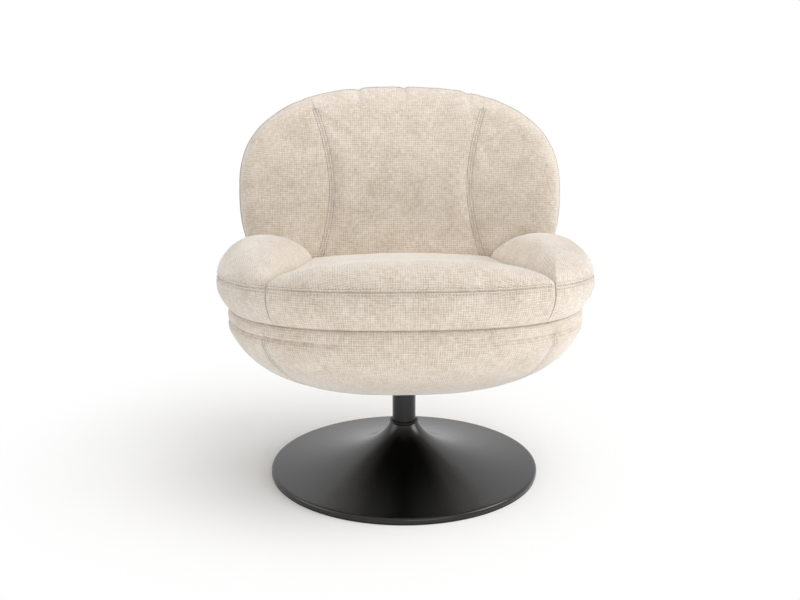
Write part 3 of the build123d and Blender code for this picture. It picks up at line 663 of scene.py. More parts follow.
class Cushion:
    """Closed cushion over an outline: a crown inside the top seam, a rolled border below it and a flat foot.

    With k the share of the way down the crown, the plan's share is sin(k pi/2). The crown rises from the seam
    as a quarter ellipse over the edge's run, which for a full dome is the whole way to the middle. The border
    is drawn in by seam_roll at the seam and by foot_roll at the deck, and is full a quarter of the way down.
    The corners of the plan are soft in the crown and sharpen as share^6 towards the seam.
    """

    seam_roll = 0.0015
    foot_roll = 0.020
    foot_gap = 0.002
    foot_rings = (0.93, 0.5)
    full = 0.25
    corner_power = 6

    def __init__(self, outline, count, coarse, crown_share, crown, edge_runs, cap):
        self.outline = outline
        self.count = count
        self.crown_share = crown_share
        self.crown = crown
        self.edge_runs = edge_runs
        self.radius, self.angle = disc_grid(count)
        flat = self.surface(self.radius, self.angle)
        seam = self.surface(np.full_like(self.radius, crown_share), self.angle)
        self.gap = np.linalg.norm(flat - seam, axis=-1)
        self.grid = self.press(flat + refine(self.swelling(coarse, cap), count))
        self.points, self.quads, self.triangles = close_below(self.grid, *self.foot(self.grid))

    def surface(self, radius, angle):
        """Points of the crown and border at a disc radius and angle, kept in front of the back."""
        edge = self.outline.point(angle)
        normal, near = deck_edge(edge)
        k = np.clip(radius / self.crown_share, 0, 1)
        b = np.clip((radius - self.crown_share) / (1 - self.crown_share), 0, 1)
        roll = near * np.where(
            b < self.full,
            self.seam_roll * (1 - b / self.full) ** 2,
            self.foot_roll * (np.maximum(b - self.full, 0) / (1 - self.full)) ** 2,
        )
        share = np.sin(k * np.pi / 2)
        soft = self.outline.point(angle, soft=True)
        sharp = soft + (edge - soft) * share[..., None] ** self.corner_power
        ray = sharp - normal * roll[..., None] - self.outline.centre
        plan = self.outline.centre + share[..., None] * ray
        seam = seam_height(plan[..., 1])
        rise = self.crown(plan) * np.sqrt(1 - self.turn(k, edge) ** 2) - b * (seam - DECK - self.foot_gap)
        height = seam + rise
        y = np.minimum(plan[..., 1], back_face(plan[..., 0], height - DECK) - COVER_GAP)
        return np.stack([plan[..., 0], y, height], -1)

    def run(self, edge):
        """Reach from the middle to points of the outline, and the run of the crown's rounded edge there."""
        ray = edge - self.outline.centre
        reach = np.linalg.norm(ray, axis=-1)
        sideways = (ray[..., 0] / self.outline.scale[0]) ** 4
        front_run, side_run = self.edge_runs
        return reach, np.minimum(front_run + (side_run - front_run) * sideways, reach)

    def turn(self, k, edge):
        """Share of the way through the rounded edge: 1 at the seam, 0 from the edge's run inwards."""
        reach, run = self.run(edge)
        return np.clip(1 - (1 - np.sin(k * np.pi / 2)) * reach / run, 0, 1)

    def foot(self, sheet):
        """Rings of the flat foot, from the sheet's edge to the point under the middle."""
        centre = np.array([*self.outline.centre, DECK + self.foot_gap])
        return [centre + share * (edge_loop(sheet) - centre) for share in self.foot_rings], centre

    def swelling(self, coarse, cap):
        """Movement of a coarse copy as it swells, held at its seam, its foot and where it meets others."""
        seam_band, foot_share = 0.02, 0.96
        joined_weight, joined_share = 0.7, 0.8
        radius, angle = disc_grid(coarse)
        sheet = self.surface(radius, angle)
        _, _, weight = self.outline.at(angle)
        held = (np.abs(radius - self.crown_share) < seam_band) | (radius > foot_share)
        held |= (weight < joined_weight) & (radius > self.crown_share * joined_share)
        return swell(sheet, held, *self.foot(sheet), cap)

    def press(self, upper):
        """Draw the cover in along its seam, with small gathers beside it."""
        depth, width = 0.0012, 0.0030
        gather_height, gather_reach, gather_waves = 0.0009, 0.014, (90, 140, 210, 330)
        _, _, weight = self.outline.at(self.angle)
        gather = ripple(self.angle * np.linalg.norm(self.outline.scale), gather_waves, SEED)
        push = gather_height * gather * np.exp(-(((self.gap - gather_reach) / gather_reach) ** 2))
        push -= depth * np.exp(-((self.gap / width) ** 2))
        return upper + face_directions(upper) * (push * weight)[..., None]

    def sewn(self):
        """Offset from the seam, up over the crown and down over the border. It is far beside a neighbour."""
        _, _, weight = self.outline.at(self.angle)
        return np.where(self.radius < self.crown_share, 1, -1) * (self.gap + (1 - weight) * SEWN_REACH)

    def weave(self):
        """Weave map by face: the crown's plan, let out by its edge's extra length, or the border's sides.

        The extra length is the quarter ellipse's arc less its run, summed in small steps of its turn.
        """
        steps = 24
        edge, normal, _ = self.outline.at(self.angle)
        _, run = self.run(edge)
        k = np.clip(self.radius / self.crown_share, 0, 1)
        turn = np.arcsin(self.turn(k, edge))
        rise = self.crown(edge)
        turns = [(i + 0.5) / steps * turn for i in range(steps)]
        spare_length = [np.hypot(run * np.cos(a), rise * np.sin(a)) - run * np.cos(a) for a in turns]
        extra = sum(spare_length) * turn / steps
        plan = self.outline.centre + np.sin(k * np.pi / 2)[..., None] * (edge - self.outline.centre)
        crown_map = plan + normal * extra[..., None]
        ring = self.outline.point(self.outline.angle)
        length = np.concatenate([[0], np.cumsum(np.linalg.norm(np.diff(ring, axis=0), axis=1))])
        along = np.interp(self.angle, self.outline.angle, length)
        spare = np.zeros((len(self.points) - self.count**2, 2))
        border_map = np.concatenate([np.stack([along, self.grid[..., 2]], -1).reshape(-1, 2), spare])
        crown_map = np.concatenate([crown_map.reshape(-1, 2), spare])
        radius = np.concatenate([self.radius.ravel(), spare[:, 0]])
        on_border = radius[self.quads].mean(1) > self.crown_share
        return np.where(on_border[:, None, None], border_map[self.quads], crown_map[self.quads])

    def keep_seam_rows(self, first, last, distance, side=1):
        """Keep a row of stitches on each side of the seam, between two places of the plan."""
        count = 400
        angles = np.linspace(*self.outline.share(np.array([first, last]))[1], count)
        edge = self.outline.point(angles)
        rise = self.crown(edge)
        reach, run = self.run(edge)
        inward = run * (1 - np.sqrt(1 - np.clip(distance / rise, 0, 1) ** 2)) / reach
        above = self.crown_share * np.arcsin(1 - inward) * 2 / np.pi
        below = np.full(count, self.crown_share + (1 - self.crown_share) * distance / sizes().border)
        mirror = np.array([side, 1, 1])
        for radius in (above, below):
            rows, columns = disc_index(radius, angles, self.count)
            outward = grid_sample(face_directions(self.grid), rows, columns)
            keep_seam(grid_sample(self.grid, rows, columns) * mirror, outward * mirror)


def deck_span():
    """Middle of the deck's plan along Y, and its reach from there to the front and the rear."""
    return (sizes().rear - FRONT) / 2, (sizes().rear + FRONT) / 2


def deck_edge(points):
    """Outward directions of the deck's plan at points, and their nearness.

    With the level (|x|^n + |y|^n)^(1/n) of the superellipse, the direction is its gradient. The nearness is 1
    on the outline and falls to 0 at a small depth inside it.
    """
    depth = 0.02
    middle, reach = deck_span()
    power = sizes().squareness
    scaled = (points - [0, middle]) / [HALF_WIDTH, reach]
    level = (np.abs(scaled) ** power).sum(-1) ** (1 / power)
    normal = np.sign(scaled) * np.abs(scaled) ** (power - 1) / [HALF_WIDTH, reach]
    normal /= np.maximum(np.linalg.norm(normal, axis=-1, keepdims=True), 1e-9)
    return normal, np.clip(1 - (1 - level) * reach / depth, 0, 1)


def plan_front(x):
    """Front of the superellipse plan at a distance across: middle - reach (1 - |x|^n)^(1/n)."""
    middle, reach = deck_span()
    power = sizes().squareness
    return middle - reach * (1 - np.abs(x / HALF_WIDTH) ** power) ** (1 / power)


def seat_outline():
    """Plan of the seat cushion: the deck's front, sides that close in, and a rear along the back."""
    rear_level, count = 0.05, 80
    across = np.linspace(-1, 1, count)
    front_x = across * SEAT_FRONT_HALF
    rear_x = across[::-1] * SEAT_REAR_HALF
    front_y = plan_front(front_x)
    rear_y = back_face(rear_x, np.full(count, rear_level)) - COVER_GAP
    side = np.linspace(0, 1, count)
    side_x = SEAT_FRONT_HALF + (SEAT_REAR_HALF - SEAT_FRONT_HALF) * side
    side_y = front_y[-1] + (rear_y[0] - front_y[-1]) * side
    points = np.concatenate([
        np.stack([front_x, front_y], 1),
        np.stack([side_x, side_y], 1),
        np.stack([rear_x, rear_y], 1),
        np.stack([-side_x[::-1], side_y[::-1]], 1),
    ])
    weight = np.repeat([1.0, 0.0, 0.0, 0.0], count)
    return Outline(points, centre=(0.0, -0.12), soften=0.002, weight=weight, crown_soften=0.06)


def arm_outline():
    """Plan of the right arm: the deck's outline outside the seat cushion, as far back as its tail."""
    gap, joint_rear, tail_inset, tail_rear = 0.0004, 0.100, 0.084, 0.236
    middle_inset, samples, side_samples = 0.066, 600, 80
    front = np.array([SEAT_FRONT_HALF + gap, plan_front(SEAT_FRONT_HALF + gap)])
    rear = np.array([SEAT_REAR_HALF + gap, joint_rear])
    tail = np.array([HALF_WIDTH - tail_inset, tail_rear])
    angle = np.linspace(-np.pi / 2, np.pi / 2, samples)
    x, y = plan_point(angle, HALF_WIDTH, FRONT, sizes().rear, sizes().squareness)
    keep = (x > front[0]) & (y < tail[1])
    share = np.linspace(0, 1, side_samples)[:, None]
    points = np.concatenate([
        np.stack([x[keep], y[keep]], 1), rear + (tail - rear) * share, front + (rear - front) * share
    ])
    weight = np.concatenate([np.ones(keep.sum()), np.zeros(2 * side_samples)])
    centre = (HALF_WIDTH - middle_inset, -0.02)
    return Outline(points, centre, soften=0.003, weight=weight, crown_soften=0.22)


# The back


def back_middle(height):
    """Distance of the back's middle surface behind the axis at a height above the deck."""
    return sizes().back_foot + height * math.tan(sizes().lean)


def back_wrap(x):
    """How far the back's middle surface comes forward at a distance across: r - sqrt(r^2 - x^2)."""
    return sizes().wrap - np.sqrt(sizes().wrap**2 - x**2)


def back_outline(inset):
    """Egg outline of the back in width and height above the deck, which closes below the deck.

    Above and below its widest level it is a quarter of a superellipse on each side.
    """
    samples = 160
    half = BACK_HALF_WIDTH - inset
    turn = np.linspace(0, np.pi / 2, samples)
    rise = np.sin(turn)
    side_x = half * (1 - rise**BACK_POWER) ** (1 / BACK_POWER)
    upper = BACK_WIDE + rise * (BACK_TOP - DECK - inset - BACK_WIDE)
    lower = BACK_WIDE - rise * BACK_BELOW
    points = np.concatenate([
        np.stack([sign * side_x, height], 1) for sign in (1, -1) for height in (upper, lower)
    ])
    return Outline(points, centre=(0.0, BACK_WIDE), soften=0.02)


def back_depth(outline, x, height, fill, edge):
    """Depth of a back pad: a quarter-round edge roll, plus a crown that falls as 1 - share^2.2.

    The share runs from the middle to the outline, along a ray above the widest level and across below it.
    """
    crown_power, lowest = 2.2, 0.98
    share, angle = outline.share(np.stack([x, height], -1))
    reach = np.linalg.norm(outline.point(angle) - outline.centre, axis=-1)
    under = np.clip((BACK_WIDE - height) / BACK_BELOW, 0, lowest)
    low_reach = outline.scale[0] * (1 - under**BACK_POWER) ** (1 / BACK_POWER)
    share = np.minimum(np.where(under > 0, np.abs(x) / low_reach, share), 1)
    reach = np.where(under > 0, low_reach, reach)
    roll = np.clip(1 - (1 - share) * reach / edge, 0, 1)
    return edge * np.sqrt(1 - roll**2) + (fill - edge) * (1 - share**crown_power)


def back_face(x, height):
    """Place of the back's front face at a distance across and a height above the deck, or far behind it."""
    far_behind = 1.0
    outline = back_outline(BACK_INSET)
    share, _ = outline.share(np.stack([x, height], -1))
    depth = back_depth(outline, x, height, sizes().back_fill, BACK_EDGE)
    return np.where(share < 1, back_middle(height) - back_wrap(x) - depth, far_behind)


class BackPad:
    """Closed pad on one face of the back: an edge roll, a crown over the middle and a foot on the deck."""

    lift = 0.0010
    board_rings = (0.85, 0.5, 0.2)

    def __init__(self, side, inset, fill, edge, count, coarse, offset, cap):
        rim_share, foot_level = 0.97, 0.01
        self.side = side
        self.fill = fill
        self.edge = edge
        self.count = count
        self.outline = back_outline(inset)
        self.radius, self.angle = disc_grid(count)
        self.plan = self.place(self.radius, self.angle)
        self.sewn = offset(self.plan)
        radius, angle = disc_grid(coarse)
        plan = self.place(radius, angle)
        held = (radius > rim_share) | (np.abs(offset(plan)) < SEWN_PITCH) | (plan[..., 1] < foot_level)
        move = swell(self.face(radius, angle), held, *self.board(coarse), cap)
        self.grid = self.face(self.radius, self.angle) + refine(move, count)

    def along_ray(self, radius):
        """Share of the way to the rim at a disc radius: mostly even, a little closer near the rim."""
        closer = 0.25
        return radius + closer * (np.sin(radius * np.pi / 2) - radius)

    def place(self, radius, angle):
        """Width and height above the deck at a disc radius and angle."""
        ray = self.outline.point(angle) - self.outline.centre
        return self.outline.centre + self.along_ray(radius)[..., None] * ray

    def face(self, radius, angle):
        """Points of the padded face. Below the foot's level the face turns in and closes on the board."""
        plan = self.place(radius, angle)
        rim = self.outline.point(angle)[..., 1]
        below = np.maximum(BACK_FOOT_GAP - rim, 1e-6)
        closing = np.where(rim < BACK_FOOT_GAP, np.clip((plan[..., 1] - rim) / below, 0, 1), 1)
        height = np.maximum(plan[..., 1], BACK_FOOT_GAP)
        depth = closing * back_depth(self.outline, plan[..., 0], height, self.fill, self.edge)
        return self.on_board(plan, depth)

    def on_board(self, plan, depth):
        """Points at a depth from the back's middle surface."""
        height = np.maximum(plan[..., 1], BACK_FOOT_GAP)
        middle = back_middle(height) - back_wrap(plan[..., 0])
        return np.stack([plan[..., 0], middle + self.side * (self.lift + depth), DECK + height], -1)

    def board(self, count):
        """Rings along the board behind the face, from its rim to the middle."""
        angle = edge_loop(disc_grid(count)[1])
        plans = [self.place(np.full(len(angle), share), angle) for share in self.board_rings]
        return [self.on_board(plan, 0.0) for plan in plans], self.on_board(self.outline.centre, 0.0)

    def faces(self):
        """Points, quads and triangles of the closed pad."""
        points, quads, triangles = close_below(self.grid, *self.board(self.count))
        if self.side > 0:
            quads, triangles = quads[:, ::-1], triangles[:, ::-1]
        return points, quads, triangles

    def weave(self, points, quads):
        """Weave map: width along the wrap's arc and height along the lean, stretched over the edge roll."""
        stretch, stretch_power = 0.09, 6
        across = sizes().wrap * np.arcsin(np.clip(self.plan[..., 0] / sizes().wrap, -1, 1))
        flat = np.stack([across, self.plan[..., 1] / math.cos(sizes().lean)], -1)
        let_out = 1 + stretch * self.radius[..., None] ** stretch_power
        flat = self.outline.centre + (flat - self.outline.centre) * let_out
        spare = np.zeros((len(points) - self.count**2, 2))
        return np.concatenate([flat.reshape(-1, 2), spare])[quads]

    def keep_line(self, line):
        """Follow a line in width and height over the finished face and keep it for stitching."""
        steps = 400
        share, angle = self.outline.share(line)
        table = np.linspace(0, 1, steps)
        radius = np.interp(share, self.along_ray(table), table)
        rows, columns = disc_index(radius, angle, self.count)
        outward = grid_sample(face_directions(self.grid), rows, columns) * -self.side
        keep_seam(grid_sample(self.grid, rows, columns), outward)


def back_seam_place(height):
    """Distance across of the back's bowed seams at a height above the deck.

    They are closest at the waist and spread above and below it as distance^1.8.
    """
    waist_half, waist_height = 0.142, 0.185
    spread, spread_run, spread_power = 0.034, 0.16, 1.8
    return waist_half + spread * np.abs((height - waist_height) / spread_run) ** spread_power


def back_seam_offset(plan):
    """Offset from the nearer bowed seam, square to it. Above the seam's end it grows quickly."""
    nudge = 0.001
    height = plan[..., 1]
    slope = (back_seam_place(height + nudge) - back_seam_place(height - nudge)) / (2 * nudge)
    offset = (np.abs(plan[..., 0]) - back_seam_place(height)) / np.sqrt(1 + slope**2)
    return offset + np.sign(offset) * SEWN_END_GROWTH * np.maximum(height - BACK_SEAM_TOP, 0)


def middle_offset(plan):
    """Offset from the upright seam down the middle of the back's rear face."""
    return plan[..., 0]


def seam_frame(points):
    """Unit directions along a row of points."""
    along = np.gradient(points, axis=0)
    return along / np.linalg.norm(along, axis=1, keepdims=True)


def resample(points, others, pitch):
    """A row of points and its companions at an even pitch."""
    length = np.concatenate([[0], np.cumsum(np.linalg.norm(np.diff(points, axis=0), axis=1))])
    even = np.arange(pitch / 2, length[-1], pitch)
    return [np.stack([np.interp(even, length, row[:, i]) for i in range(3)], 1) for row in (points, others)]


# Steps that build the pieces and the stage


class ARMCHAIR_OT_pod_cover(bpy.types.Operator):
    """Build the padded bowl under the deck as a closed shell, with its crease and corner seams."""

    bl_idname = "armchair.pod_cover"
    bl_label = "Pod cover"

    around = 420
    step = 0.018
    corners = (0.77, 2.45)
    crease = DECK - 0.023
    seam_foot = POD_BOTTOM + 0.035
    stitch_margin = 0.045

    def execute(self, context):
        half, front, rear = HALF_WIDTH - self.step, FRONT - self.step, sizes().rear - self.step
        angle = np.linspace(0, math.tau, self.around, endpoint=False)
        shares, heights, outside = self.profile(half)
        rows = len(shares)
        x, y = plan_point(angle, half, front, rear, sizes().squareness)
        grid = np.stack([
            np.outer(shares, x), np.outer(shares, y), np.repeat(heights[:, None], self.around, 1)
        ], -1)
        wrapped = np.concatenate([grid[:, -1:], grid, grid[:, :1]], 1)
        outward = -face_directions(wrapped)[:, 1:-1]
        grid = grid + outward * (self.press(grid) * outside[:, None])[..., None]
        index = np.arange(rows * self.around).reshape(rows, self.around)
        closed = np.concatenate([index, index[:1]])
        quads = grid_faces(np.concatenate([closed, closed[:, :1]], 1))[:, ::-1]
        ring = np.concatenate([[0], np.cumsum(np.hypot(np.diff(x), np.diff(y)))])
        down = np.concatenate([[0], np.cumsum(np.hypot(np.diff(heights), np.diff(shares) * half))])
        weave = np.stack(np.broadcast_arrays(ring[None, :], down[:, None]), -1).reshape(-1, 2)[quads]
        piece = make_piece(
            "pod_cover_cloth", grid.reshape(-1, 3), quads, cloth(), weave, None, self.sewn(grid)
        )
        finish_cover(piece, SEAT_BODY, "pod_cover")
        level = heights[outside]
        lowest, highest = POD_BOTTOM + self.stitch_margin, DECK - self.stitch_margin
        sewn = np.nonzero((level > lowest) & (level < highest))[0]
        for side in (-1, 1):
            for corner in self.corners:
                aside = self.facing(grid[sewn[-1]]) - side * corner
                middle = np.argmin(np.abs(np.angle(np.exp(1j * aside))))
                for offset in (-1, 1):
                    column = (middle + offset) % self.around
                    keep_seam(grid[sewn, column], outward[sewn, column])
        return {"FINISHED"}

    def facing(self, points):
        """Angle of points round the axis, from the front."""
        return np.arctan2(points[..., 0], -points[..., 1])

    def profile(self, half):
        """Shares of the plan and heights up the outer wall, over the drawn-in lip and down the inner wall.

        The outer wall swells from a flat floor as (1 - (1 - rise)^2.05)^0.60.
        """
        wall, lip_height, lip_inset, floor_half = 0.012, 0.014, 0.028, 0.112
        inner_in, inner_up = 2.2 * wall, 0.4 * wall
        rises, lip_rows, cut_rows, spacing_power = 72, 14, 20, 1.6
        fall_power, swell_power = 2.05, 0.60
        top = DECK + 0.0008
        rise = np.sin(np.linspace(0, np.pi / 2, rises)) ** spacing_power
        least = floor_half / half
        share = least + (1 - least) * (1 - (1 - rise) ** fall_power) ** swell_power
        height = POD_BOTTOM + rise * (top - lip_height - POD_BOTTOM)
        turn = np.linspace(0, np.pi / 2, lip_rows)[1:]
        share = np.concatenate([share, 1 - lip_inset * (1 - np.cos(turn))])
        height = np.concatenate([height, top - lip_height + lip_height * np.sin(turn)])
        inner_share = (share - inner_in / half)[::-1][:-cut_rows]
        inner_height = np.minimum(height + inner_up, top)[::-1][:-cut_rows]
        shares = np.concatenate([share, inner_share])
        return shares, np.concatenate([height, inner_height]), np.arange(len(shares)) < len(share)

    def sewn(self, grid):
        """Offset from the nearer corner seam, towards the side. Past its ends it grows quickly."""
        height = grid[..., 2]
        from_front = np.abs(self.facing(grid))
        front_corner, rear_corner = self.corners
        turn = np.minimum(from_front - front_corner, rear_corner - from_front)
        offset = turn * np.hypot(grid[..., 0], grid[..., 1])
        past = np.maximum(height - self.crease, 0) + np.maximum(self.seam_foot - height, 0)
        return offset + np.sign(offset) * SEWN_END_GROWTH * past

    def press(self, grid):
        """How far the cover is drawn in at its crease and seams, and how far its slack swells it.

        Crease and seams are bell curves of the distance from them. The crease fades out round the front.
        """
        crease_depth, crease_width = 0.0050, 0.0032
        swell_height, swell_below, swell_width = 0.0022, 0.014, 0.011
        fade_start, fade_run = 0.22, 0.30
        seam_depth, seam_width, seam_ease = 0.0016, 0.0080, 0.006
        floor_gap, floor_ease = 0.02, 0.03
        slack_height, slack_waves = 0.0010, (8, 14, 23)
        height = grid[..., 2]
        over = height - self.crease
        facing = self.facing(grid)
        from_front = np.abs(facing)
        fade = np.clip((from_front - fade_start) / fade_run, 0, 1)
        push = -crease_depth * fade * np.exp(-((over / crease_width) ** 2))
        push += swell_height * fade * np.exp(-(((over + swell_below) / swell_width) ** 2))
        below = np.clip(-over / seam_ease, 0, 1)
        below *= np.clip((height - POD_BOTTOM - floor_gap) / floor_ease, 0, 1)
        radius = np.hypot(grid[..., 0], grid[..., 1])
        for corner in self.corners:
            push -= seam_depth * below * np.exp(-(((from_front - corner) * radius / seam_width) ** 2))
        middle = np.sin(np.clip((height - POD_BOTTOM) / (DECK - POD_BOTTOM), 0, 1) * np.pi)
        return push + slack_height * ripple(facing, slack_waves, SEED + 3) * middle


class ARMCHAIR_OT_seat_cushion(bpy.types.Operator):
    """Build the seat cushion with its crown, topstitched seam and rolled border."""

    bl_idname = "armchair.seat_cushion"
    bl_label = "Seat cushion"

    edge_runs = (0.058, 0.14)
    stitch_end = 0.004

    def execute(self, context):
        def crown(plan):
            """Height above the seam: full at the front, falling to the rear, and higher in the middle."""
            least, side_rise, fall = 0.006, 0.007, 0.115
            behind = np.maximum(plan[..., 1] + FRONT - self.edge_runs[0], 0)
            rounded = side_rise * (1 - np.clip(plan[..., 0] / SEAT_FRONT_HALF, -1, 1) ** 2)
            return np.maximum(sizes().seat_crown - fall * behind, least) + rounded

        cushion = Cushion(
            seat_outline(), count=290, coarse=76, crown_share=0.78, crown=crown,
            edge_runs=self.edge_runs, cap=0.003,
        )
        piece = make_piece(
            "seat_cushion_cloth", cushion.points, cushion.quads, cloth(), cushion.weave(),
            cushion.triangles, cushion.sewn(),
        )
        finish_cover(piece, SEAT_BODY, "seat_cushion")
        corner_x = SEAT_FRONT_HALF - self.stitch_end
        corner = np.array([corner_x, plan_front(corner_x)])
        cushion.keep_seam_rows(corner * [-1, 1], corner, SEWN_PITCH)
        return {"FINISHED"}


class ARMCHAIR_OT_arm_pads(bpy.types.Operator):
    """Build the plump arms as a mirrored pair."""

    bl_idname = "armchair.arm_pads"
    bl_label = "Arm pads"

    stitch_start = 0.008
    stitch_end = (-0.012, 0.12)

    def execute(self, context):
        def crown(plan):
            """Height above the seam: level at the rear, falling a little towards the front."""
            fall_start, fall_run, fall = -0.04, 0.24, 0.18
            forward = np.clip((fall_start - plan[..., 1]) / fall_run, 0, 1)
            return sizes().arm_crown * (1 - fall * forward)

        cushion = Cushion(
            arm_outline(), count=210, coarse=64, crown_share=0.68, crown=crown,
            edge_runs=(1.0, 1.0), cap=0.006,
        )
        weave = cushion.weave()
        start_x = SEAT_FRONT_HALF + self.stitch_start
        start = np.array([start_x, plan_front(start_x)])
        end = np.array([HALF_WIDTH, 0]) + self.stitch_end
        for name, side in (("right", 1), ("left", -1)):
            piece = make_piece(
                f"arm_pad_{name}_cloth", cushion.points * np.array([side, 1, 1]), cushion.quads[:, ::side],
                cloth(), weave[:, ::side], cushion.triangles[:, ::side], cushion.sewn(),
            )
            finish_cover(piece, SEAT_BODY, f"arm_pad_{name}")
            cushion.keep_seam_rows(start, end, SEWN_PITCH, side)
        return {"FINISHED"}


class ARMCHAIR_OT_back_pads(bpy.types.Operator):
    """Build the two faces of the back with their seams and gathers."""

    bl_idname = "armchair.back_pads"
    bl_label = "Back pads"

    stitch_foot = 0.02
    stitch_samples = 160

    def execute(self, context):
        front = BackPad(
            side=-1, inset=BACK_INSET, fill=sizes().back_fill, edge=BACK_EDGE, count=300, coarse=84,
            offset=back_seam_offset, cap=0.006,
        )
        rear = BackPad(
            side=1, inset=0.0, fill=0.046, edge=0.028, count=240, coarse=76, offset=middle_offset, cap=0.006
        )
        for name, pad in (("front", front), ("rear", rear)):
            self.press(pad)
            points, quads, triangles = pad.faces()
            piece = make_piece(
                f"back_{name}_cloth", points, quads, cloth(), pad.weave(points, quads), triangles, pad.sewn
            )
            finish_cover(piece, SEAT_BODY, f"back_{name}_pad")
        height = np.linspace(self.stitch_foot, BACK_SEAM_TOP, self.stitch_samples)
        for side in (-1, 1):
            front.keep_line(np.stack([side * back_seam_place(height), height], 1))
            rear.keep_line(np.stack([np.full_like(height, side * SEWN_PITCH), height], 1))
        return {"FINISHED"}

    def press(self, pad):
        """Sink the seams into the face, and pinch its rim with gathers and a few uneven tucks.

        Valleys and tucks are bell curves of the distance from their line. A tuck has its place across, its
        width, its depth and its reach from the rim.
        """
        valley_depth, valley_width = 0.0022, 0.010
        rim_gap, rim_ease = 0.015, 0.02
        gather_height, gather_reach, gather_waves, gather_low = 0.0012, 0.03, (11, 19, 31, 47), 0.25
        tucks = (
            (-0.086, 0.007, 0.0034, 0.05),
            (0.014, 0.005, 0.0024, 0.03),
            (0.150, 0.008, 0.0030, 0.055),
        )
        rim = np.linalg.norm(pad.outline.point(pad.angle) - pad.outline.centre, axis=-1)
        inward = (1 - pad.along_ray(pad.radius)) * rim
        push = -valley_depth * np.exp(-((pad.sewn / valley_width) ** 2))
        push *= np.clip((inward - rim_gap) / rim_ease, 0, 1)
        above = np.clip(np.sin(pad.angle) + gather_low, 0, 1)
        gather = ripple(pad.angle, gather_waves, SEED + 1) * np.exp(-((inward / gather_reach) ** 2))
        push += gather_height * gather * above
        for place, width, depth, reach in tucks:
            across = np.exp(-(((pad.plan[..., 0] - place) / width) ** 2))
            push -= depth * across * np.exp(-((inward / reach) ** 2)) * (np.sin(pad.angle) > 0)
        pad.grid = pad.grid - pad.side * face_directions(pad.grid) * push[..., None]


class ARMCHAIR_OT_stitching(bpy.types.Operator):
    """Sew rows of small thread stitches along every kept seam.

    With s from -1 to 1 along a stitch, its radius falls as sqrt(1 - |s|^3) and its middle rises as 1 - s^2.
    """

    bl_idname = "armchair.stitching"
    bl_label = "Stitching"

    def execute(self, context):
        pitch = sizes().stitch
        long_half, thick, rise, least = pitch * 0.41, 0.0005, 0.0004, 0.02
        sides = 6
        bow = np.array([-1.0, -0.6, 0.0, 0.6, 1.0])
        turn = np.linspace(0, math.tau, sides, endpoint=False)
        round_off = np.sqrt(np.clip(1 - np.abs(bow) ** 3, least, 1))
        stitch = np.stack([
            np.repeat(bow * long_half, sides),
            np.outer(round_off, np.cos(turn) * thick).ravel(),
            (np.outer(round_off, np.sin(turn) * thick) + (1 - bow[:, None] ** 2) * rise).ravel(),
        ], 1)
        index = np.arange(len(stitch)).reshape(len(bow), sides)
        walls = grid_faces(np.concatenate([index, index[:, :1]], 1))[:, ::-1]
        first, last = index[0], index[-1]
        caps = [first[[0, 1, 2, 3]], first[[3, 4, 5, 0]], last[[3, 2, 1, 0]], last[[0, 5, 4, 3]]]
        one = np.concatenate([walls, caps])
        places, along, outward = [], [], []
        for points, normal in seam_rows:
            even, even_normal = resample(points, normal, pitch)
            places.append(even)
            along.append(seam_frame(even))
            outward.append(even_normal / np.linalg.norm(even_normal, axis=1, keepdims=True))
        places, along, outward = (np.concatenate(rows) for rows in (places, along, outward))
        across = np.cross(outward, along)
        across /= np.linalg.norm(across, axis=1, keepdims=True)
        axes = np.stack([along, across, outward], 1)
        points = places[:, None, :] + np.einsum("ij,kjl->kil", stitch, axes)
        faces = one[None] + (np.arange(len(places)) * len(stitch))[:, None, None]
        thread = spun_thread(colours().thread)
        piece = make_piece("top_stitching", points.reshape(-1, 3), faces.reshape(-1, 4), thread)
        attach(piece, SEAT_BODY)
        return {"FINISHED"}


class ARMCHAIR_OT_trumpet_base(bpy.types.Operator):
    """Spin the smooth trumpet cover of the base from its profile.

    A quarter round rolls over the rim. A cubic curve, pulled by two points, flares from there to the neck.
    """

    bl_idname = "armchair.trumpet_base"
    bl_label = "Trumpet base"

    def execute(self, context):
        around, flare_rows, roll_rows, inner_skip = 256, 60, 10, 3
        rim, rim_round, wall, foot = 0.013, 0.005, 0.0025, 0.003
        neck, neck_round, neck_drop = COLUMN_RADIUS + 0.005, 0.0012, 0.0008
        start = np.array([BASE_RADIUS - rim_round, rim])
        rim_pull = start + [-0.140, 0.010]
        neck_pull = np.array([neck + 0.020, NECK_HEIGHT - 0.048])
        ends = (start, rim_pull, neck_pull, np.array([neck, NECK_HEIGHT - neck_drop]))
        t = np.linspace(0, 1, flare_rows)[:, None]
        flare = sum(math.comb(3, i) * t**i * (1 - t) ** (3 - i) * ends[i] for i in range(4))
        turn = np.linspace(0, np.pi / 2, roll_rows)[:-1]
        roll = start + rim_round * np.stack([np.cos(turn), np.sin(turn) - 1], 1)
        profile = np.concatenate([
            [[BASE_RADIUS, foot]],
            roll,
            flare,
            [[neck - neck_round, NECK_HEIGHT], [neck - wall, NECK_HEIGHT]],
            flare[::-1][inner_skip:] - [wall * 0.4, wall],
            [[BASE_RADIUS - wall, rim - rim_round], [BASE_RADIUS - wall, foot]],
        ])
        angle = np.linspace(0, math.tau, around, endpoint=False)
        points = np.stack([
            profile[:, :1] * np.cos(angle), profile[:, :1] * np.sin(angle),
            np.broadcast_to(profile[:, 1:], (len(profile), around)),
        ], -1)
        index = np.arange(points.shape[0] * around).reshape(-1, around)
        closed = np.concatenate([index, index[:1]])
        closed = np.concatenate([closed, closed[:, :1]], 1)
        faces = grid_faces(closed)[:, ::-1]
        piece = make_piece("trumpet_base", points.reshape(-1, 3), faces, satin_black())
        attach(piece, BASE_BODY)
        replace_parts(piece, "base_cover")
        return {"FINISHED"}


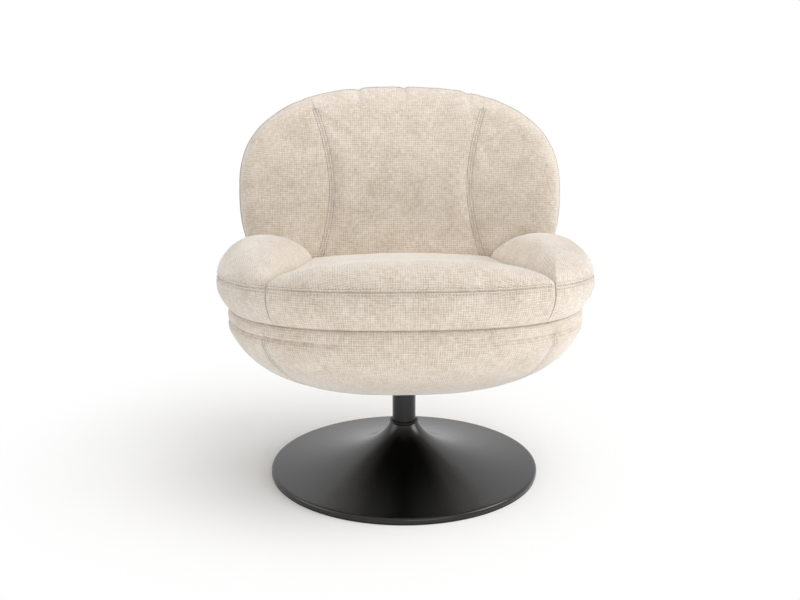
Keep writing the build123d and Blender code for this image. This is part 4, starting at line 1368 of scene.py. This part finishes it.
class ARMCHAIR_OT_finishes(bpy.types.Operator):
    """Give every solid that is still shown the finish of its slot.

    Spunbonded sheet is a dull black felt, zinc plate a grey metal with a cloudy gloss. Moulded nylon is black
    with an even soft gloss, moulded rubber nearly dull. Plywood and pine are pale, with streaks along the
    grain.
    """

    bl_idname = "armchair.finishes"
    bl_label = "Finishes"

    def execute(self, context):
        finishes = {
            "powder_coat": satin_black(),
            "dust_cover": speckled(
                "spunbonded polypropylene", "#111111", "#1E1E1E",
                grain=0.0015, roughness=0.9, swing=0.05, relief=0.0003,
            ),
            "bare_steel": speckled(
                "zinc-plated steel", "#8E9092", "#A9ABAD",
                grain=0.004, roughness=0.35, swing=0.08, relief=0.0001, metallic=1.0,
            ),
            "nylon": speckled(
                "moulded nylon", "#0D0D0E", "#151516",
                grain=0.0009, roughness=0.5, swing=0.06, relief=0.0001,
            ),
            "rubber_ring": speckled(
                "moulded rubber", "#0E0E0E", "#171717",
                grain=0.0012, roughness=0.8, swing=0.06, relief=0.0002,
            ),
            "plywood": speckled(
                "sanded birch plywood", "#C9A877", "#DEC297",
                grain=0.02, roughness=0.65, swing=0.08, relief=0.0003, stretch=(0.2, 2.5, 2.5),
            ),
            "timber": speckled(
                "planed pine", "#CFA874", "#E2C596",
                grain=0.012, roughness=0.6, swing=0.08, relief=0.0003, stretch=(3.0, 0.15, 3.0),
            ),
        }
        replaced = {node for piece in bpy.data.objects for node in piece.get("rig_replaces", [])}
        for row in frame["record"]["subparts"]:
            node, slot = row["node"], row["material_slot"]
            if node in replaced:
                continue
            solid = frame["nodes"][node]
            solid.data.materials.clear()
            solid.data.materials.append(finishes[slot])
        return {"FINISHED"}


class ARMCHAIR_OT_stage(bpy.types.Operator):
    """Set the floor, the soft lights and the camera."""

    bl_idname = "armchair.stage"
    bl_label = "Stage"

    def execute(self, context):
        aim_height = 0.45
        distance, eye_height = 1.71, 0.72
        turn, pitch = math.radians(-2.5), math.radians(12.4)
        scene = context.scene
        scene.view_settings.view_transform = "Standard"
        self.floor()
        self.world(scene)
        for name, place, size, power in (
            ("key softbox", (2.3, -0.5, 1.6), 1.4, 33.0),
            ("top softbox", (0.0, 0.2, 2.9), 2.0, 29.0),
            ("left softbox", (-2.4, -0.4, 1.0), 1.6, 12.0),
            ("floor reflector", (0.3, -1.1, 0.03), 0.7, 4.0),
        ):
            light = bpy.data.lights.new(name, "AREA")
            light.size = size
            light.energy = power
            lamp = bpy.data.objects.new(name, light)
            lamp.location = place
            aim = Vector((0, 0, aim_height)) - Vector(place)
            lamp.rotation_euler = aim.to_track_quat("-Z", "Y").to_euler()
            scene.collection.objects.link(lamp)
        camera = bpy.data.cameras.new("photo camera")
        camera.sensor_width = 36.0
        camera.lens = 40.5
        camera.shift_x = -0.005
        eye = bpy.data.objects.new("photo camera", camera)
        eye.location = (distance * math.sin(turn), -distance * math.cos(turn), eye_height)
        eye.rotation_euler = (math.pi / 2 - pitch, 0, turn)
        scene.collection.objects.link(eye)
        scene.camera = eye
        return {"FINISHED"}

    def floor(self):
        """Round floor of pale matt paint with a faint stipple.

        The eye gets a soft shade under the chair and to its left, which runs out to plain white further on.
        """
        rings, around, reach, middle = 40, 96, 14.0, 0.0005
        shade_centre = (-0.16, 0.16, 0.0)
        radius = reach * np.linspace(middle, 1, rings) ** 2
        angle = np.linspace(0, math.tau, around, endpoint=False)
        points = np.stack([
            np.outer(radius, np.cos(angle)), np.outer(radius, np.sin(angle)), np.zeros((rings, around))
        ], -1)
        index = np.arange(rings * around).reshape(rings, around)
        faces = grid_faces(np.concatenate([index, index[:, :1]], 1))
        material, tree, shader = new_material("painted studio floor")
        place = add_node(tree, "ShaderNodeTexCoord").outputs["Object"]
        far = add_node(
            tree, "ShaderNodeVectorMath", {"operation": "DISTANCE"}, {1: shade_centre}, {0: place}
        )
        fade = add_node(
            tree, "ShaderNodeMapRange", {"interpolation_type": "SMOOTHSTEP"},
            {"From Min": 0.20, "From Max": 0.74}, {"Value": far.outputs["Value"]},
        )
        share = add_node(
            tree, "ShaderNodeMath", {"operation": "MULTIPLY"}, None,
            {0: fade.outputs["Result"], 1: shown_rays(tree)},
        )
        white = add_node(tree, "ShaderNodeEmission", None, {"Strength": 1.0})
        grain = add_node(tree, "ShaderNodeTexNoise", None, {"Scale": 60.0}, {"Vector": place})
        bump = add_node(
            tree, "ShaderNodeBump", None, {"Strength": 0.05, "Distance": 0.001},
            {"Height": grain.outputs["Fac"]},
        )
        shader.inputs["Base Color"].default_value = linear(colours().floor)
        shader.inputs["Roughness"].default_value = 0.85
        shader.inputs["Specular IOR Level"].default_value = 0.2
        tree.links.new(bump.outputs["Normal"], shader.inputs["Normal"])
        mix = add_node(tree, "ShaderNodeMixShader", None, None, {
            0: share.outputs[0], 1: shader.outputs["BSDF"], 2: white.outputs["Emission"]
        })
        tree.links.new(mix.outputs["Shader"], tree.nodes["Material Output"].inputs["Surface"])
        floor = make_piece("studio_floor", points.reshape(-1, 3), faces, material)

    def world(self, scene):
        """White surroundings: full white to the camera, softer as light on the object."""
        world = bpy.data.worlds.new("studio")
        world.use_nodes = True
        scene.world = world
        tree = world.node_tree
        background = tree.nodes["Background"]
        level = add_node(
            tree, "ShaderNodeMapRange", None, {"To Min": 0.49, "To Max": 1.0}, {"Value": shown_rays(tree)}
        )
        tree.links.new(level.outputs["Result"], background.inputs["Strength"])
        background.inputs["Color"].default_value = (1, 1, 1, 1)


class ARMCHAIR_PT_panel(bpy.types.Panel):
    """Sizes, colours and the steps that build the armchair's looks."""

    bl_label = "Armchair"
    bl_idname = "ARMCHAIR_PT_panel"
    bl_space_type = "VIEW_3D"
    bl_region_type = "UI"
    bl_category = "Armchair"

    def draw(self, context):
        column = self.layout.column()
        for group in (context.scene.armchair_sizes, context.scene.armchair_colours):
            for key in group.__annotations__:
                column.prop(group, key)
        for step in STEPS:
            column.operator(step.bl_idname)


STEPS = (
    ARMCHAIR_OT_pod_cover,
    ARMCHAIR_OT_seat_cushion,
    ARMCHAIR_OT_arm_pads,
    ARMCHAIR_OT_back_pads,
    ARMCHAIR_OT_stitching,
    ARMCHAIR_OT_trumpet_base,
    ARMCHAIR_OT_finishes,
    ARMCHAIR_OT_stage,
)
CLASSES = (ArmchairSizes, ArmchairColours, *STEPS, ARMCHAIR_PT_panel)


def register():
    """Register the classes and the settings on the scene."""
    for one in CLASSES:
        bpy.utils.register_class(one)
    bpy.types.Scene.armchair_sizes = bpy.props.PointerProperty(type=ArmchairSizes)
    bpy.types.Scene.armchair_colours = bpy.props.PointerProperty(type=ArmchairColours)


def unregister():
    """Take the settings and the classes out again."""
    del bpy.types.Scene.armchair_colours
    del bpy.types.Scene.armchair_sizes
    for one in reversed(CLASSES):
        bpy.utils.unregister_class(one)


def main():
    """Build every piece and the stage."""
    register()
    for step in STEPS:
        area, name = step.bl_idname.split(".")
        getattr(getattr(bpy.ops, area), name)()


if __name__ == "__main__":
    main()
